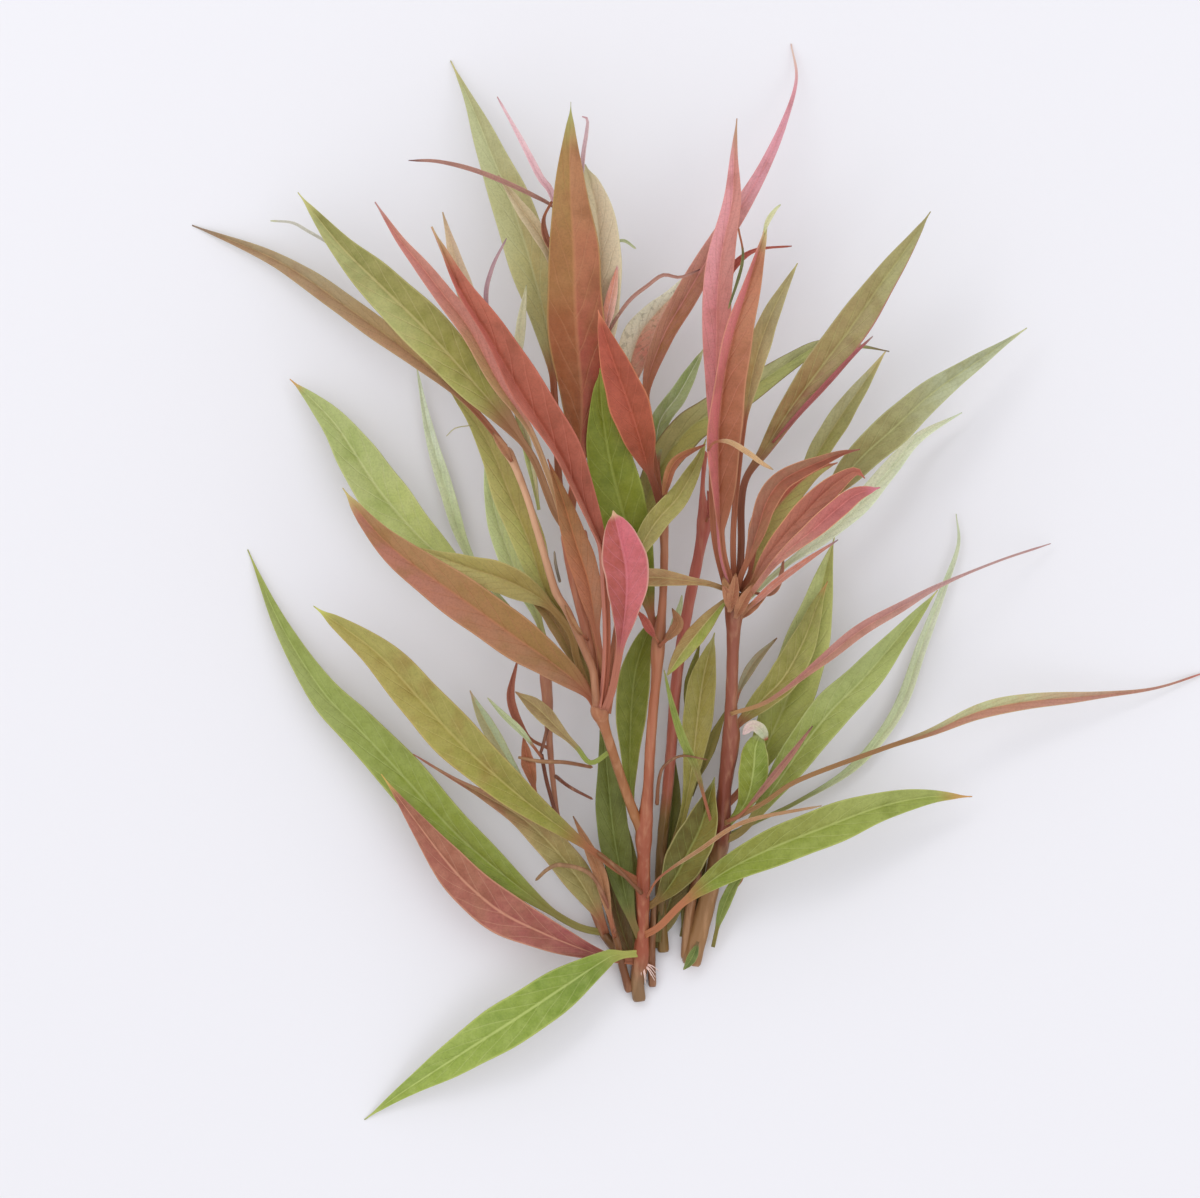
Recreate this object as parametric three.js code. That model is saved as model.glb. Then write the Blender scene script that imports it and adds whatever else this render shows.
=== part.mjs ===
// Alternanthera rosaefolia: one cut bunch of the aquarium plant, laid down on its back on a surface.
// Millimetres, +Z up. +Y runs from the cut stem ends to the leaf tips, and the leaves face +Z.
// Stems and leaves are laid out on a sheet, x from its left edge and y from its lower edge, with z
// the height above the surface. The part's origin is on the surface, under the middle of the plant.
import * as THREE from "three";

// Driving dimensions, in millimetres.
const SHEET_MIDDLE = new THREE.Vector3(140.29, 123.64, 0);
const CLEARANCE = 0.3; // between a stem and what grows from it
const RIB = 1.1; // thickness of a leaf along its midrib; its margins are sharp
const TIP_RIB = 0.4; // thickness of a leaf at its tip
const TIP_WIDTH = 0.5;
const PETIOLE_WIDTH = 1.5; // of a broad leaf
const LEAST_PETIOLE = 0.3;
const PETIOLE_SHARE = 0.2; // of a leaf's width that is added to the least width of its stalk
const THINNING = 1 / 3; // share of a blade over which its midrib thins to the tip
const LIES = TIP_RIB / 2; // height of the middle of a tip that lies on the surface

// How finely the curves are divided.
const STEM_SIDES = 8;
const LEAF_STEP = 7; // about one section of a leaf for each 7 mm
const FEWEST_SECTIONS = 9;
const MOST_SECTIONS = 16;
const SEARCH_STEPS = 400; // tries along a leaf for the point where it comes clear of its stem
const STEM_SAMPLES = 160; // points that a stem is measured at for that search

const UP = new THREE.Vector3(0, 0, 1);

const colours = {
  green: 0x82973f,
  yellowGreen: 0x93ab43,
  darkGreen: 0x5b6a2c,
  olive: 0x8f8c4b,
  paleGreen: 0xb0b682,
  tan: 0xab8a5e,
  orange: 0xb07048,
  brown: 0xa07850,
  redBrown: 0xa5604c,
  red: 0xaa4c42,
  pink: 0xcd6a75,
  stemRed: 0xb65c4c,
  stemPink: 0xd18c70,
  stemDark: 0x934542,
};

const materials = Object.fromEntries(
  Object.entries(colours).map(([name, color]) => [
    name,
    new THREE.MeshStandardMaterial({ color, roughness: 0.55, metalness: 0 }),
  ]),
);

const plant = new THREE.Group();
plant.position.copy(SHEET_MIDDLE).negate();

// A smooth curve through points given as [x, y, z, ...].
function curveThrough(points) {
  return new THREE.CatmullRomCurve3(
    points.map(([x, y, z]) => new THREE.Vector3(x, y, z)),
    false,
    "catmullrom",
  );
}

// The directions at a place on a curve: ahead along it, to its right, and out of it, as near up as
// it can be.
function frameAt(curve, along) {
  const ahead = curve.getTangentAt(along);
  const right = ahead.clone().cross(UP).normalize();
  const out = right.clone().cross(ahead);
  return { middle: curve.getPointAt(along), ahead, right, out };
}

// The point at a distance to the right and out from the middle of a frame, no lower than the surface.
function offset({ middle, right, out }, across, outward) {
  const point = middle
    .clone()
    .addScaledVector(right, across)
    .addScaledVector(out, outward);
  point.z = Math.max(point.z, 0);
  return point;
}

// A closed surface through rings of equally many points, each ring running left, out, right, in.
function loft(rings) {
  const size = rings[0].length;
  const index = [];
  for (let ring = 0; ring + 1 < rings.length; ring++) {
    for (let side = 0; side < size; side++) {
      const next = (side + 1) % size;
      const a = ring * size + side;
      const b = ring * size + next;
      index.push(a, b, b + size, a, b + size, a + size);
    }
  }
  const last = (rings.length - 1) * size;
  for (let step = 1; step + 1 < size; step++) {
    const b = (1 + step) % size;
    const c = (2 + step) % size;
    index.push(1, c, b, last + 1, last + b, last + c);
  }
  const geometry = new THREE.BufferGeometry().setFromPoints(rings.flat());
  geometry.setIndex(index);
  geometry.computeVertexNormals();
  return geometry;
}

function add(name, colour, geometry) {
  const mesh = new THREE.Mesh(geometry, materials[colour]);
  mesh.name = name;
  plant.add(mesh);
}

// How far a point is from the surface of a stem, negative inside it.
function distanceFrom(stem, point) {
  let nearest = Infinity;
  for (const { middle, radius } of stem.samples)
    nearest = Math.min(nearest, middle.distanceTo(point) - radius);
  return nearest;
}

// The first place along a curve that is clear of the stem it starts in.
function clearOf(stem, curve, halfWidth) {
  for (let step = 0; step < SEARCH_STEPS; step++) {
    const along = step / SEARCH_STEPS;
    if (distanceFrom(stem, curve.getPointAt(along)) > CLEARANCE + halfWidth)
      return along;
  }
  throw new Error("a leaf never comes clear of its stem");
}

// A round stem through points [x, y, z, radius]. One that grows from another starts just clear of it.
function makeStem(name, colour, points, parent) {
  const curve = curveThrough(points);
  const spans = points.length - 1;
  const radiusAt = (along) => {
    const place = curve.getUtoTmapping(along) * spans;
    const before = Math.min(Math.floor(place), spans - 1);
    return THREE.MathUtils.lerp(points[before][3], points[before + 1][3], place - before);
  };
  const start = parent ? clearOf(parent, curve, points[0][3]) : 0;
  const rings = [];
  for (let ring = 0; ring <= 2 * spans; ring++) {
    const along = THREE.MathUtils.lerp(start, 1, ring / (2 * spans));
    const frame = frameAt(curve, along);
    const radius = radiusAt(along);
    rings.push(
      Array.from({ length: STEM_SIDES }, (_, side) => {
        const turn = (side / STEM_SIDES) * 2 * Math.PI;
        return offset(frame, -radius * Math.cos(turn), radius * Math.sin(turn));
      }),
    );
  }
  add(name, colour, loft(rings));
  const samples = Array.from({ length: STEM_SAMPLES }, (_, sample) => {
    const along = THREE.MathUtils.lerp(start, 1, sample / (STEM_SAMPLES - 1));
    return { middle: curve.getPointAt(along), radius: radiusAt(along) };
  });
  return { samples };
}

// The width of a blade at a share of its length from the stalk to the tip, as a share of its
// greatest width.
function bladeShare(share, widest, taper) {
  return Math.sin(Math.PI * share ** (Math.log(0.5) / Math.log(widest))) ** taper;
}

// A leaf from a stem to its tip, with the two halves of its blade raised by fold degrees about the
// midrib and both rolled by roll degrees towards the right. petiole is the share of its length that
// is stalk, and widest the share of the blade where it is widest. A larger taper gives a longer,
// thinner point.
function leaf(name, colour, stem, shape, points) {
  const { width, petiole = 0.2, widest = 0.45, taper = 1.1, fold = 15, roll = 0 } = shape;
  const curve = curveThrough(points);
  const sections = THREE.MathUtils.clamp(
    Math.round(curve.getLength() / LEAF_STEP) + 3,
    FEWEST_SECTIONS,
    MOST_SECTIONS,
  );
  const start = clearOf(stem, curve, RIB / 2);
  const leftTilt = THREE.MathUtils.degToRad(fold + roll);
  const rightTilt = THREE.MathUtils.degToRad(fold - roll);
  const lean = THREE.MathUtils.degToRad(roll);
  const stalk = Math.min(PETIOLE_WIDTH, LEAST_PETIOLE + PETIOLE_SHARE * width);
  const rings = [];
  for (let section = 0; section <= sections; section++) {
    const along = THREE.MathUtils.lerp(start, 1, section / sections);
    const frame = frameAt(curve, along);
    const share = THREE.MathUtils.clamp((along - petiole) / (1 - petiole), 0, 1);
    const least = share < widest ? stalk : TIP_WIDTH;
    const half = Math.max(least, width * bladeShare(share, widest, taper)) / 2;
    const rib = THREE.MathUtils.lerp(TIP_RIB, RIB, Math.min(1, (1 - share) / THINNING)) / 2;
    rings.push([
      offset(frame, -half * Math.cos(leftTilt), half * Math.sin(leftTilt)),
      offset(frame, rib * Math.sin(lean), rib * Math.cos(lean)),
      offset(frame, half * Math.cos(rightTilt), half * Math.sin(rightTilt)),
      offset(frame, -rib * Math.sin(lean), -rib * Math.cos(lean)),
    ]);
  }
  add(name, colour, loft(rings));
}

// Stems, from the cut end or the fork upwards.
const stemFront = makeStem("stem_front", "stemRed", [
  [128, 39, 1.3, 1.3], [127.6, 43, 1.6, 1.4], [128.2, 47, 2.6, 1.7], [128.6, 54, 5, 1.3],
  [128.6, 63, 9, 1.5], [128.8, 68, 11.5, 1.3], [128.8, 73, 14, 1.7], [129.6, 82, 17, 1.1],
  [130, 90, 18.5, 1.05], [130.6, 98, 19.5, 1], [131.2, 104, 20, 1], [131.6, 111, 20, 1.4],
  [132.4, 118, 20, 0.85], [132.8, 126, 20, 0.8], [132.8, 133, 20, 0.9], [132.2, 139.6, 20.5, 1.5],
]);
const stemLeft = makeStem("stem_left", "stemRed", [
  [128.6, 72.8, 14, 1], [126.4, 78.4, 16.5, 1], [124.4, 84, 18.5, 0.95], [122.4, 90, 21, 0.95],
  [120.8, 95, 23, 1.1], [120, 97.6, 24, 1.9], [119.8, 100, 25, 1.4], [119.2, 105, 25.5, 1.2],
  [118, 111, 26, 1.2], [116.4, 117.6, 26, 1.1], [114.8, 124, 26, 1.1], [113.8, 129, 26, 1.1],
  [113.2, 134, 26, 1.3],
], stemFront);
const stemUpperLeft = makeStem("stem_upper_left", "stemPink", [
  [119.3, 99, 26, 0.8], [119.1, 102, 28.4, 0.8], [118.6, 106, 28.8, 0.8], [117, 110, 29, 0.8],
  [113.6, 117.6, 29, 0.8], [111.2, 121.6, 28.5, 0.8], [109.2, 128, 28, 0.75], [107.4, 134, 27, 0.7],
  [105.4, 140.6, 25.5, 0.7], [103, 146.8, 24, 0.8], [101, 150.6, 23, 1.2],
], stemLeft);
const stemRight = makeStem("stem_right", "stemDark", [
  [138.4, 46.4, 1.9, 1.9], [140, 53, 2.6, 1.9], [141.6, 59, 3.6, 1.8], [143.2, 66, 5.5, 1.7],
  [144.4, 73.4, 8, 2], [145, 82, 11, 1.4], [146.2, 91.6, 14.5, 1.8], [146.2, 97, 16, 1.3],
  [146.4, 104, 18, 1.2], [146.6, 112, 20, 1.3], [146.8, 119, 21.5, 2], [146.8, 122, 22, 2.3],
]);
const stemBack = makeStem("stem_back", "stemDark", [
  [132.8, 49, 1.2, 1.2], [132.4, 56, 2.4, 1.1], [132.2, 64, 4, 1.1], [132.6, 72, 5.5, 1.1],
  [133.6, 82, 7, 1.1], [134.4, 91, 8, 1.1], [135, 100, 8.5, 1.1], [136, 109, 9, 1.1],
  [137.6, 118, 9.5, 1.1], [139, 125, 9.5, 1.1], [140.2, 131, 9.5, 1.1], [141, 136, 9.5, 1.5],
  [140.6, 142, 9, 0.5], [141.2, 150, 9, 0.5],
]);
const stemLeftBack = makeStem("stem_left_back", "stemDark", [
  [124.4, 48.4, 1.2, 1.2], [120.6, 53, 2.2, 0.9], [117.6, 60, 3.5, 0.6], [114.4, 68, 5, 0.5],
  [111.6, 76, 6, 0.5], [110.6, 83, 7, 0.55], [109.8, 92, 8, 0.7], [109.4, 100, 9, 1.1],
  [109, 105.6, 10, 1.2], [109.4, 111, 11, 1.2],
]);

// Leaves of the far left crown and of the crown of the left stem.
leaf("leaf_tan_far_left", "tan", stemUpperLeft, { width: 5, petiole: 0.12, fold: 20 }, [
  [101, 150.6, 23], [96, 156.8, 20], [89.4, 163.4, 16.5], [80, 171, 12], [68, 179.7, 8],
  [60, 185.4, 5], [52, 189.9, 2.5], [37.6, 195.7, LIES],
]);
leaf("leaf_olive_upper_left", "olive", stemLeft, { width: 9.6, petiole: 0.21, widest: 0.43 }, [
  [113.2, 134, 26], [110.6, 138.4, 25.5], [107, 147.6, 25.5], [102.8, 153.8, 25.5],
  [98.8, 158.8, 26], [91.4, 167.2, 25], [83.8, 175.4, 23], [76, 183, 20], [68, 191, 15],
  [59.2, 202, 9],
]);
leaf("leaf_pink_upper_left", "redBrown", stemLeft, { width: 4.4, petiole: 0.25, fold: 20 }, [
  [113.2, 134, 27], [110, 144, 28.5], [106, 154, 29], [100, 163, 29], [94, 174, 28.5],
  [89, 180.6, 27.5], [84, 187, 26], [80, 192, 24.5], [75, 199.6, 21],
]);
leaf("leaf_red_blade", "redBrown", stemLeft, {
  width: 10.4, petiole: 0.29, widest: 0.44, fold: 40, roll: 35,
}, [
  [120.4, 98.6, 26.5], [121.2, 106, 30], [121.4, 114, 31.5], [121, 123, 32.5], [120.4, 130.4, 33],
  [118.8, 134.4, 34], [114.8, 143, 35], [111, 150.4, 36], [104, 161.4, 36.5], [98, 172, 36],
  [92, 182, 34], [86.6, 194.4, 29],
]);
leaf("leaf_pale_green_top", "paleGreen", stemLeft, {
  width: 9, petiole: 0.3, widest: 0.4, taper: 1.3,
}, [
  [113.4, 134, 25], [111.8, 144, 22], [111.2, 156, 20], [109.8, 172, 18.5], [106.5, 186, 17],
  [102.4, 199, 14], [98, 210, 10], [94, 220, 5], [89.8, 229, LIES],
]);
leaf("leaf_orange_centre", "orange", stemLeft, {
  width: 11.6, petiole: 0.17, widest: 0.43, fold: -12,
}, [
  [113.9, 129, 26.5], [114.4, 138, 27], [116, 150, 28], [116.4, 160, 30], [115.6, 170, 32],
  [115, 180, 33], [114.8, 190, 33], [114.2, 200, 32], [114, 210, 30], [114.2, 219.4, 26],
]);
leaf("leaf_rounded_behind_orange", "tan", stemLeft, {
  width: 8.8, petiole: 0.3, widest: 0.6, taper: 0.7,
}, [
  [113.4, 134, 26], [115.4, 148, 25], [118.4, 164, 25.5], [120, 176, 26], [120, 188, 26.5],
  [119.2, 198, 26], [117, 207, 24.5],
]);
leaf("leaf_orange_behind_red", "orange", stemLeft, { width: 5.6, petiole: 0.3, widest: 0.4 }, [
  [120.2, 99, 24], [120, 108, 27.5], [118.8, 117, 28.5], [117.6, 124, 29.5], [115, 132, 30.5],
  [112.6, 140, 31], [109.6, 148, 32],
]);

// Leaves of the large node of the left stem.
leaf("leaf_olive_left_centre", "olive", stemLeft, { width: 7.2, petiole: 0.25 }, [
  [119.6, 98.4, 22], [116.4, 108, 21], [113, 116, 21], [109, 122, 21], [106, 131, 20],
  [102.4, 140, 19], [98.8, 149, 17.5], [94.8, 156, 15], [89.4, 162.6, 12],
]);
leaf("leaf_large_red_brown", "brown", stemLeft, {
  width: 9.2, petiole: 0.05, widest: 0.42, taper: 0.9, fold: 12,
}, [
  [119.8, 97.4, 24.6], [116.8, 102.2, 25.4], [110, 107.8, 27.6], [104, 112, 28.6], [92, 120.6, 29],
  [80, 129.2, 28.5], [73.6, 135.6, 27], [68.6, 142.4, 24.5],
]);
leaf("leaf_olive_above_red_brown", "olive", stemLeft, {
  width: 6.4, petiole: 0.43, widest: 0.38, taper: 1.2,
}, [
  [119.4, 97.8, 22.5], [115.6, 107.6, 23], [114, 113.6, 23.5], [109, 119.6, 24], [102, 123.6, 24],
  [94, 126.4, 23.5], [88, 128.6, 22.5], [82.6, 130.8, 21],
]);
leaf("leaf_small_pink_front", "pink", stemLeft, {
  width: 9.4, petiole: 0.3, widest: 0.62, taper: 0.9,
}, [
  [121, 98.2, 27], [122.4, 102, 30], [123.4, 107, 33], [124.4, 113, 35.5], [125.2, 120, 37],
  [125.2, 126, 37.5], [124, 132, 37], [122.6, 137.8, 35.5],
]);
leaf("leaf_olive_over_crown", "olive", stemLeft, { width: 4.8, petiole: 0.45 }, [
  [121.6, 97.4, 25], [123.2, 108, 27], [124.2, 118.2, 27], [126.7, 127.3, 26.5], [130.7, 134.9, 26],
  [134.9, 139.7, 25.5], [136.7, 142.3, 25], [139.7, 147.9, 23], [141.2, 152.2, 20],
]);
leaf("leaf_long_olive_crossing", "olive", stemLeft, {
  width: 7, petiole: 0.3, widest: 0.38, taper: 1.4,
}, [
  [120.4, 99, 21.5], [122.4, 108, 18], [124, 118, 14.5], [125.6, 127, 12.5], [127.6, 134.6, 12],
  [131.4, 145.6, 12.2], [137, 153.6, 15.4], [142, 157.2, 18.4], [150, 162.2, 21.4],
  [158, 167.6, 21.8], [164.4, 171, 20.6], [172, 170.8, 18.5], [178, 169.8, 16.5],
]);
leaf("leaf_small_olive_brown", "olive", stemLeft, { width: 3.6, petiole: 0.33, widest: 0.62 }, [
  [122.4, 90, 20.5], [118.2, 87.4, 17.5], [115.4, 90.4, 16], [111.6, 94.2, 15.4], [107.4, 98.4, 15],
  [103, 101.6, 15],
]);

// Leaves of the back stems.
leaf("leaf_light_green_back", "paleGreen", stemLeftBack, { width: 5, petiole: 0.1 }, [
  [109.4, 110, 11], [106.6, 119, 9.5], [103, 126, 8.5], [100, 134, 8], [98.2, 141, 7.5],
  [96.8, 151, 6],
]);
leaf("leaf_narrow_pale", "paleGreen", stemLeftBack, { width: 3, petiole: 0.3 }, [
  [109.2, 109, 10], [102, 118, 6], [96, 125, 4.5], [92.3, 132, 3.5], [89.1, 142, 3],
  [85.6, 154, 2.5], [83, 167, 2],
]);
leaf("leaf_light_green_left", "paleGreen", stemLeftBack, { width: 10, petiole: 0.25 }, [
  [109.2, 110.4, 11], [103, 116, 9.5], [95, 123.4, 8.5], [85, 131.4, 8], [76.4, 141, 7.5],
  [71, 149, 7], [67, 155, 6], [62.4, 160, 4.5], [57.4, 164.6, 2.5],
]);
leaf("leaf_big_green_lower_left", "green", stemLeftBack, {
  width: 9.2, petiole: 0.1, widest: 0.4, taper: 1.2,
}, [
  [120.8, 52.8, 2.2], [115, 54.4, 4], [107, 59.6, 5.5], [92, 72, 6.5], [79, 86, 6.5], [71, 94.4, 6],
  [63.8, 102, 5], [55.6, 115, 3], [48.8, 130.2, LIES],
]);
leaf("leaf_long_tipped", "olive", stemLeftBack, {
  width: 6.5, petiole: 0.05, widest: 0.3, taper: 2,
}, [
  [121.2, 52.8, 3], [119.6, 57, 6], [115.6, 64, 8.5], [110, 71, 10], [104, 76.4, 10.5],
  [97, 80.6, 10], [90, 84.4, 9.5], [82.4, 89, 9],
]);
leaf("leaf_pale_strip_lower_left", "paleGreen", stemLeftBack, {
  width: 3.2, petiole: 0.15, widest: 0.6,
}, [
  [111.2, 77.6, 6.3], [108, 79, 8], [103, 85.4, 8.5], [98.6, 92.6, 8], [95.6, 98, 7.6],
  [93.8, 101.8, 7],
]);
leaf("leaf_twisted_dark_red", "red", stemLeftBack, { width: 1.8, petiole: 0.2 }, [
  [109.9, 90, 7.8], [105.3, 92.8, 10], [102.1, 100, 11], [103.4, 108, 12],
]);
leaf("leaf_pale_olive_centre", "olive", stemBack, { width: 6.4, petiole: 0.1, widest: 0.66 }, [
  [132.4, 66, 4.4], [134.6, 70, 6.5], [136.8, 77, 8], [138.6, 87, 9], [139.6, 96, 10],
  [140.8, 104.6, 11], [143, 113.4, 12.5],
]);

// Leaves of the front stem, from its lowest node up.
leaf("leaf_pink_red_lower_left", "redBrown", stemFront, {
  width: 8.8, petiole: 0.03, widest: 0.48, taper: 1.4, fold: 12,
}, [
  [128, 47, 2.8], [123, 47.6, 3], [120, 48.4, 3.6], [115, 50.2, 5.4], [108, 53.2, 7.6],
  [100.2, 57.2, 9.4], [93.4, 62.8, 10.6], [88.4, 68.4, 11], [82.8, 75.8, 10.6], [76, 85, 9.5],
]);
leaf("leaf_yellow_green_drooping", "yellowGreen", stemFront, {
  width: 9.8, petiole: 0.05, widest: 0.4, taper: 1.25,
}, [
  [128.2, 48.8, 3.8], [123, 48.4, 6.8], [121, 47.6, 7.5], [113, 42.4, 9], [104, 36.4, 9],
  [92, 28.6, 6.5], [80, 20.6, 2.5], [72.4, 15, LIES],
]);
leaf("leaf_dark_green_front", "darkGreen", stemFront, { width: 6.6, petiole: 0.1 }, [
  [128.4, 50.8, 4], [126, 57, 7.5], [124, 66, 8], [122.6, 74, 9.5], [121.8, 82, 11],
  [121, 90, 12.5], [120, 96.8, 14],
]);
leaf("leaf_green_lower_right", "green", stemFront, { width: 8.4, petiole: 0.15 }, [
  [128.8, 52.4, 5.2], [132, 54.4, 8], [137, 59.4, 10.5], [145, 65.4, 12.5], [154, 70, 13.5],
  [164, 74, 13.5], [176, 78.4, 12], [186, 80.4, 9.5], [195, 80.4, 6],
]);
leaf("leaf_dark_green_right_base", "darkGreen", stemFront, { width: 8.4, petiole: 0.1 }, [
  [128.7, 57.6, 6.5], [132, 60, 7.5], [135, 64, 8.5], [137.6, 69, 9.5], [140.4, 75, 11],
  [143, 84.4, 13.8],
]);
leaf("leaf_olive_brown_lower_left", "olive", stemFront, {
  width: 9.6, petiole: 0.15, widest: 0.52, taper: 0.9,
}, [
  [128.6, 63, 9.5], [124, 65.6, 11.5], [120, 68.6, 13], [114, 73, 14.5], [104, 80.6, 16],
  [93, 90.4, 16.5], [84, 100, 16], [75, 109.6, 14.5], [62.4, 118.8, 11],
]);
leaf("leaf_green_between_stems", "green", stemFront, { width: 6.8, petiole: 0.05, widest: 0.6 }, [
  [128.4, 74, 13.5], [126.4, 77.6, 13], [126, 86, 13], [126.2, 96, 13.5], [127, 105, 14.5],
  [129, 112, 15.4], [132, 117.6, 16.4],
]);
leaf("leaf_bright_green_centre", "green", stemFront, {
  width: 10.2, petiole: 0.1, widest: 0.5, taper: 0.9, fold: 8,
}, [
  [131.6, 111, 19], [130, 118, 19], [128, 126, 19.5], [125, 136, 23], [122.4, 146, 26.2],
  [120.9, 154, 29.2], [120.2, 160, 31], [120, 166, 32.4],
]);
leaf("leaf_red_front", "red", stemFront, { width: 8.2, petiole: 0.18 }, [
  [132, 139, 21.5], [131, 142.6, 23.5], [129.4, 147, 28], [127.2, 154.4, 33], [125.2, 160.4, 35.5],
  [122.8, 167, 37], [120.8, 173, 37], [119.6, 177.6, 36],
]);
leaf("leaf_pale_spotted_curl", "paleGreen", stemFront, {
  width: 6.6, petiole: 0.42, widest: 0.35,
}, [
  [132.2, 140.6, 19], [129.8, 147, 17.2], [127, 154, 16.4], [125.6, 161, 15.4], [126, 167.4, 14.6],
  [128, 173.4, 13.6], [131.2, 177.6, 12.8], [134.6, 181.2, 12], [138.4, 186.4, 10],
]);
leaf("leaf_tall_pink_back", "redBrown", stemFront, {
  width: 4.8, petiole: 0.2, widest: 0.28, taper: 1.4,
}, [
  [132.2, 140.4, 20], [130.2, 152, 20], [129.4, 162.6, 19.5], [132.6, 172.6, 19], [137, 180.4, 19],
  [142, 189, 18.5], [148.4, 199, 16.5], [153, 207, 13], [157, 216, 8.5], [159.6, 225, 3.5],
  [158.6, 232.4, LIES],
]);

// Leaves of the right stem, from its lower node up to its crown.
leaf("leaf_thin_pale_right", "paleGreen", stemRight, { width: 2.6, petiole: 0.2 }, [
  [144.6, 72, 6.5], [152, 75.6, 5], [160, 79.4, 4], [171.4, 86.6, 3], [180, 97.6, 2.5],
  [185, 111, 2.5], [189.2, 122, 2.5], [192.3, 131, 2], [191.9, 137.4, 1.5],
]);
leaf("leaf_green_right", "green", stemRight, { width: 8, petiole: 0.1 }, [
  [144, 71, 8], [149.2, 74.2, 9.5], [155.3, 82.7, 11.5], [160.3, 90.1, 13], [166.3, 97.7, 14],
  [172.7, 104.1, 14], [180.2, 112.8, 12], [188, 122, 8],
]);
leaf("leaf_long_right", "olive", stemRight, {
  width: 3.4, petiole: 0.35, widest: 0.385, taper: 2.5,
}, [
  [144.8, 75, 10], [148.6, 77, 14.4], [153, 79.5, 16.2], [160, 84, 17.5], [176, 90, 17.5],
  [186, 93.4, 16], [196, 97.6, 13.5], [206, 99.6, 10.5], [220, 100.8, 6], [232, 102.2, 2.5],
  [243, 105.6, LIES],
]);
leaf("leaf_tall_olive_right", "olive", stemRight, { width: 10.2, petiole: 0.1 }, [
  [144.8, 78, 10], [150, 84, 9], [155, 94, 8.5], [160, 106, 8], [163.2, 117, 8], [165.4, 126, 7.5],
  [167.2, 132.6, 7],
]);
leaf("leaf_dark_olive_right", "olive", stemRight, { width: 6.4, petiole: 0.05 }, [
  [146.3, 93.6, 15], [149.4, 96.8, 13.6], [153, 100.4, 12.2], [157, 104.6, 11.4], [161, 112, 11],
  [164, 120, 10.5], [165.8, 123.8, 10.3],
]);
leaf("leaf_bright_green_right", "yellowGreen", stemRight, {
  width: 6, petiole: 0.12, widest: 0.62, taper: 0.7, fold: 6,
}, [
  [144.8, 74.2, 8.6], [147.8, 77.2, 10.4], [149.8, 80.8, 12.6], [150.8, 86, 14.2],
  [151.2, 90.4, 14.6], [152.4, 93.6, 14.8],
]);
leaf("leaf_long_pink_right", "pink", stemRight, {
  width: 2.7, petiole: 0.05, widest: 0.36, taper: 4,
}, [
  [146.2, 97.2, 17.5], [154, 100, 20], [164, 107.6, 22], [172, 113.9, 22], [180, 118.5, 20.5],
  [188, 122.9, 17], [200, 127.8, 9], [211, 131.4, 2],
]);
leaf("leaf_tall_red", "red", stemRight, { width: 6.1, petiole: 0.3, widest: 0.44, taper: 1.2 }, [
  [145.6, 121, 21.5], [143, 132, 24], [142.4, 144, 25], [143, 160, 26], [143.2, 171.6, 26.5],
  [143.4, 181, 26.5], [144.4, 190, 26], [146.4, 200, 24.5], [146.8, 209, 22], [147.4, 216.4, 19],
]);
leaf("leaf_two_tone_front", "orange", stemRight, {
  width: 9.6, petiole: 0.15, widest: 0.39, taper: 0.95, fold: 35, roll: 30,
}, [
  [146.2, 123.2, 24], [144.4, 130, 27], [143.6, 142, 31], [143.4, 152, 33.5], [144, 160, 35],
  [145.1, 167, 35.5], [146.8, 174, 35.5], [148.7, 180, 34.5], [151, 187.6, 32], [153.6, 195.6, 28],
]);
leaf("leaf_olive_behind_two_tone", "olive", stemRight, { width: 4.4, petiole: 0.5 }, [
  [146.8, 123, 22.5], [146.6, 134, 26.5], [148, 150, 29.5], [149.6, 161, 30], [151.6, 170, 29.5],
  [154.6, 178, 28.5], [159.4, 187.2, 26],
]);
leaf("leaf_big_olive_brown_right", "olive", stemRight, { width: 7.4, petiole: 0.25, widest: 0.5 }, [
  [147.8, 122.6, 22], [148.2, 131, 23.2], [148.2, 139, 24], [149.2, 144.4, 25],
  [152.8, 149.8, 25.5], [157.6, 157.6, 26], [163.8, 166, 26], [169.8, 174, 25.5], [176, 183, 24],
  [182, 191.4, 21.5], [186.2, 197.8, 18],
]);
leaf("leaf_small_olive_right", "olive", stemRight, { width: 4.8, petiole: 0.4 }, [
  [148.6, 120.6, 20.5], [154, 131, 17], [158.6, 140, 15], [164, 150, 14], [168.8, 157.6, 13.5],
  [173, 163.6, 13], [177.4, 170, 12],
]);
leaf("leaf_pointed_olive_right", "olive", stemRight, {
  width: 7.2, petiole: 0.31, widest: 0.32, taper: 1.2,
}, [
  [149, 121, 21], [157, 130.4, 21.5], [165.2, 140.2, 21.5], [172, 148.2, 21], [178.6, 154.2, 20],
  [186, 161, 18], [195, 167.4, 14], [206, 174.8, 7],
]);
leaf("leaf_mint_back", "paleGreen", stemRight, { width: 4, petiole: 0.2 }, [
  [148.8, 119.6, 19.5], [157, 126.8, 14], [164, 132, 11], [172, 139, 9], [178, 146, 7.5],
  [184, 152.6, 6], [193, 157.8, 4],
]);
leaf("leaf_curled_red", "red", stemRight, { width: 4.4, petiole: 0.15, widest: 0.42 }, [
  [147.4, 122, 23], [148.2, 125, 25.4], [149.6, 128.4, 27.2], [151.4, 134, 28.6],
  [153.2, 139.6, 30.4], [155.8, 143.4, 31.6], [159.4, 145.6, 32], [164, 147.6, 31.6],
  [168, 149.2, 30.4], [171.8, 150, 29],
]);
leaf("leaf_red_green_stripe", "redBrown", stemRight, { width: 6.4, petiole: 0.12 }, [
  [148.2, 121.6, 22.6], [150.4, 126, 24.2], [151.6, 131.4, 25.4], [153.4, 136, 26.4],
  [156.8, 140.2, 27.4], [160.6, 144, 28], [163.8, 146, 27.8], [167.4, 147.4, 27],
]);
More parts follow.
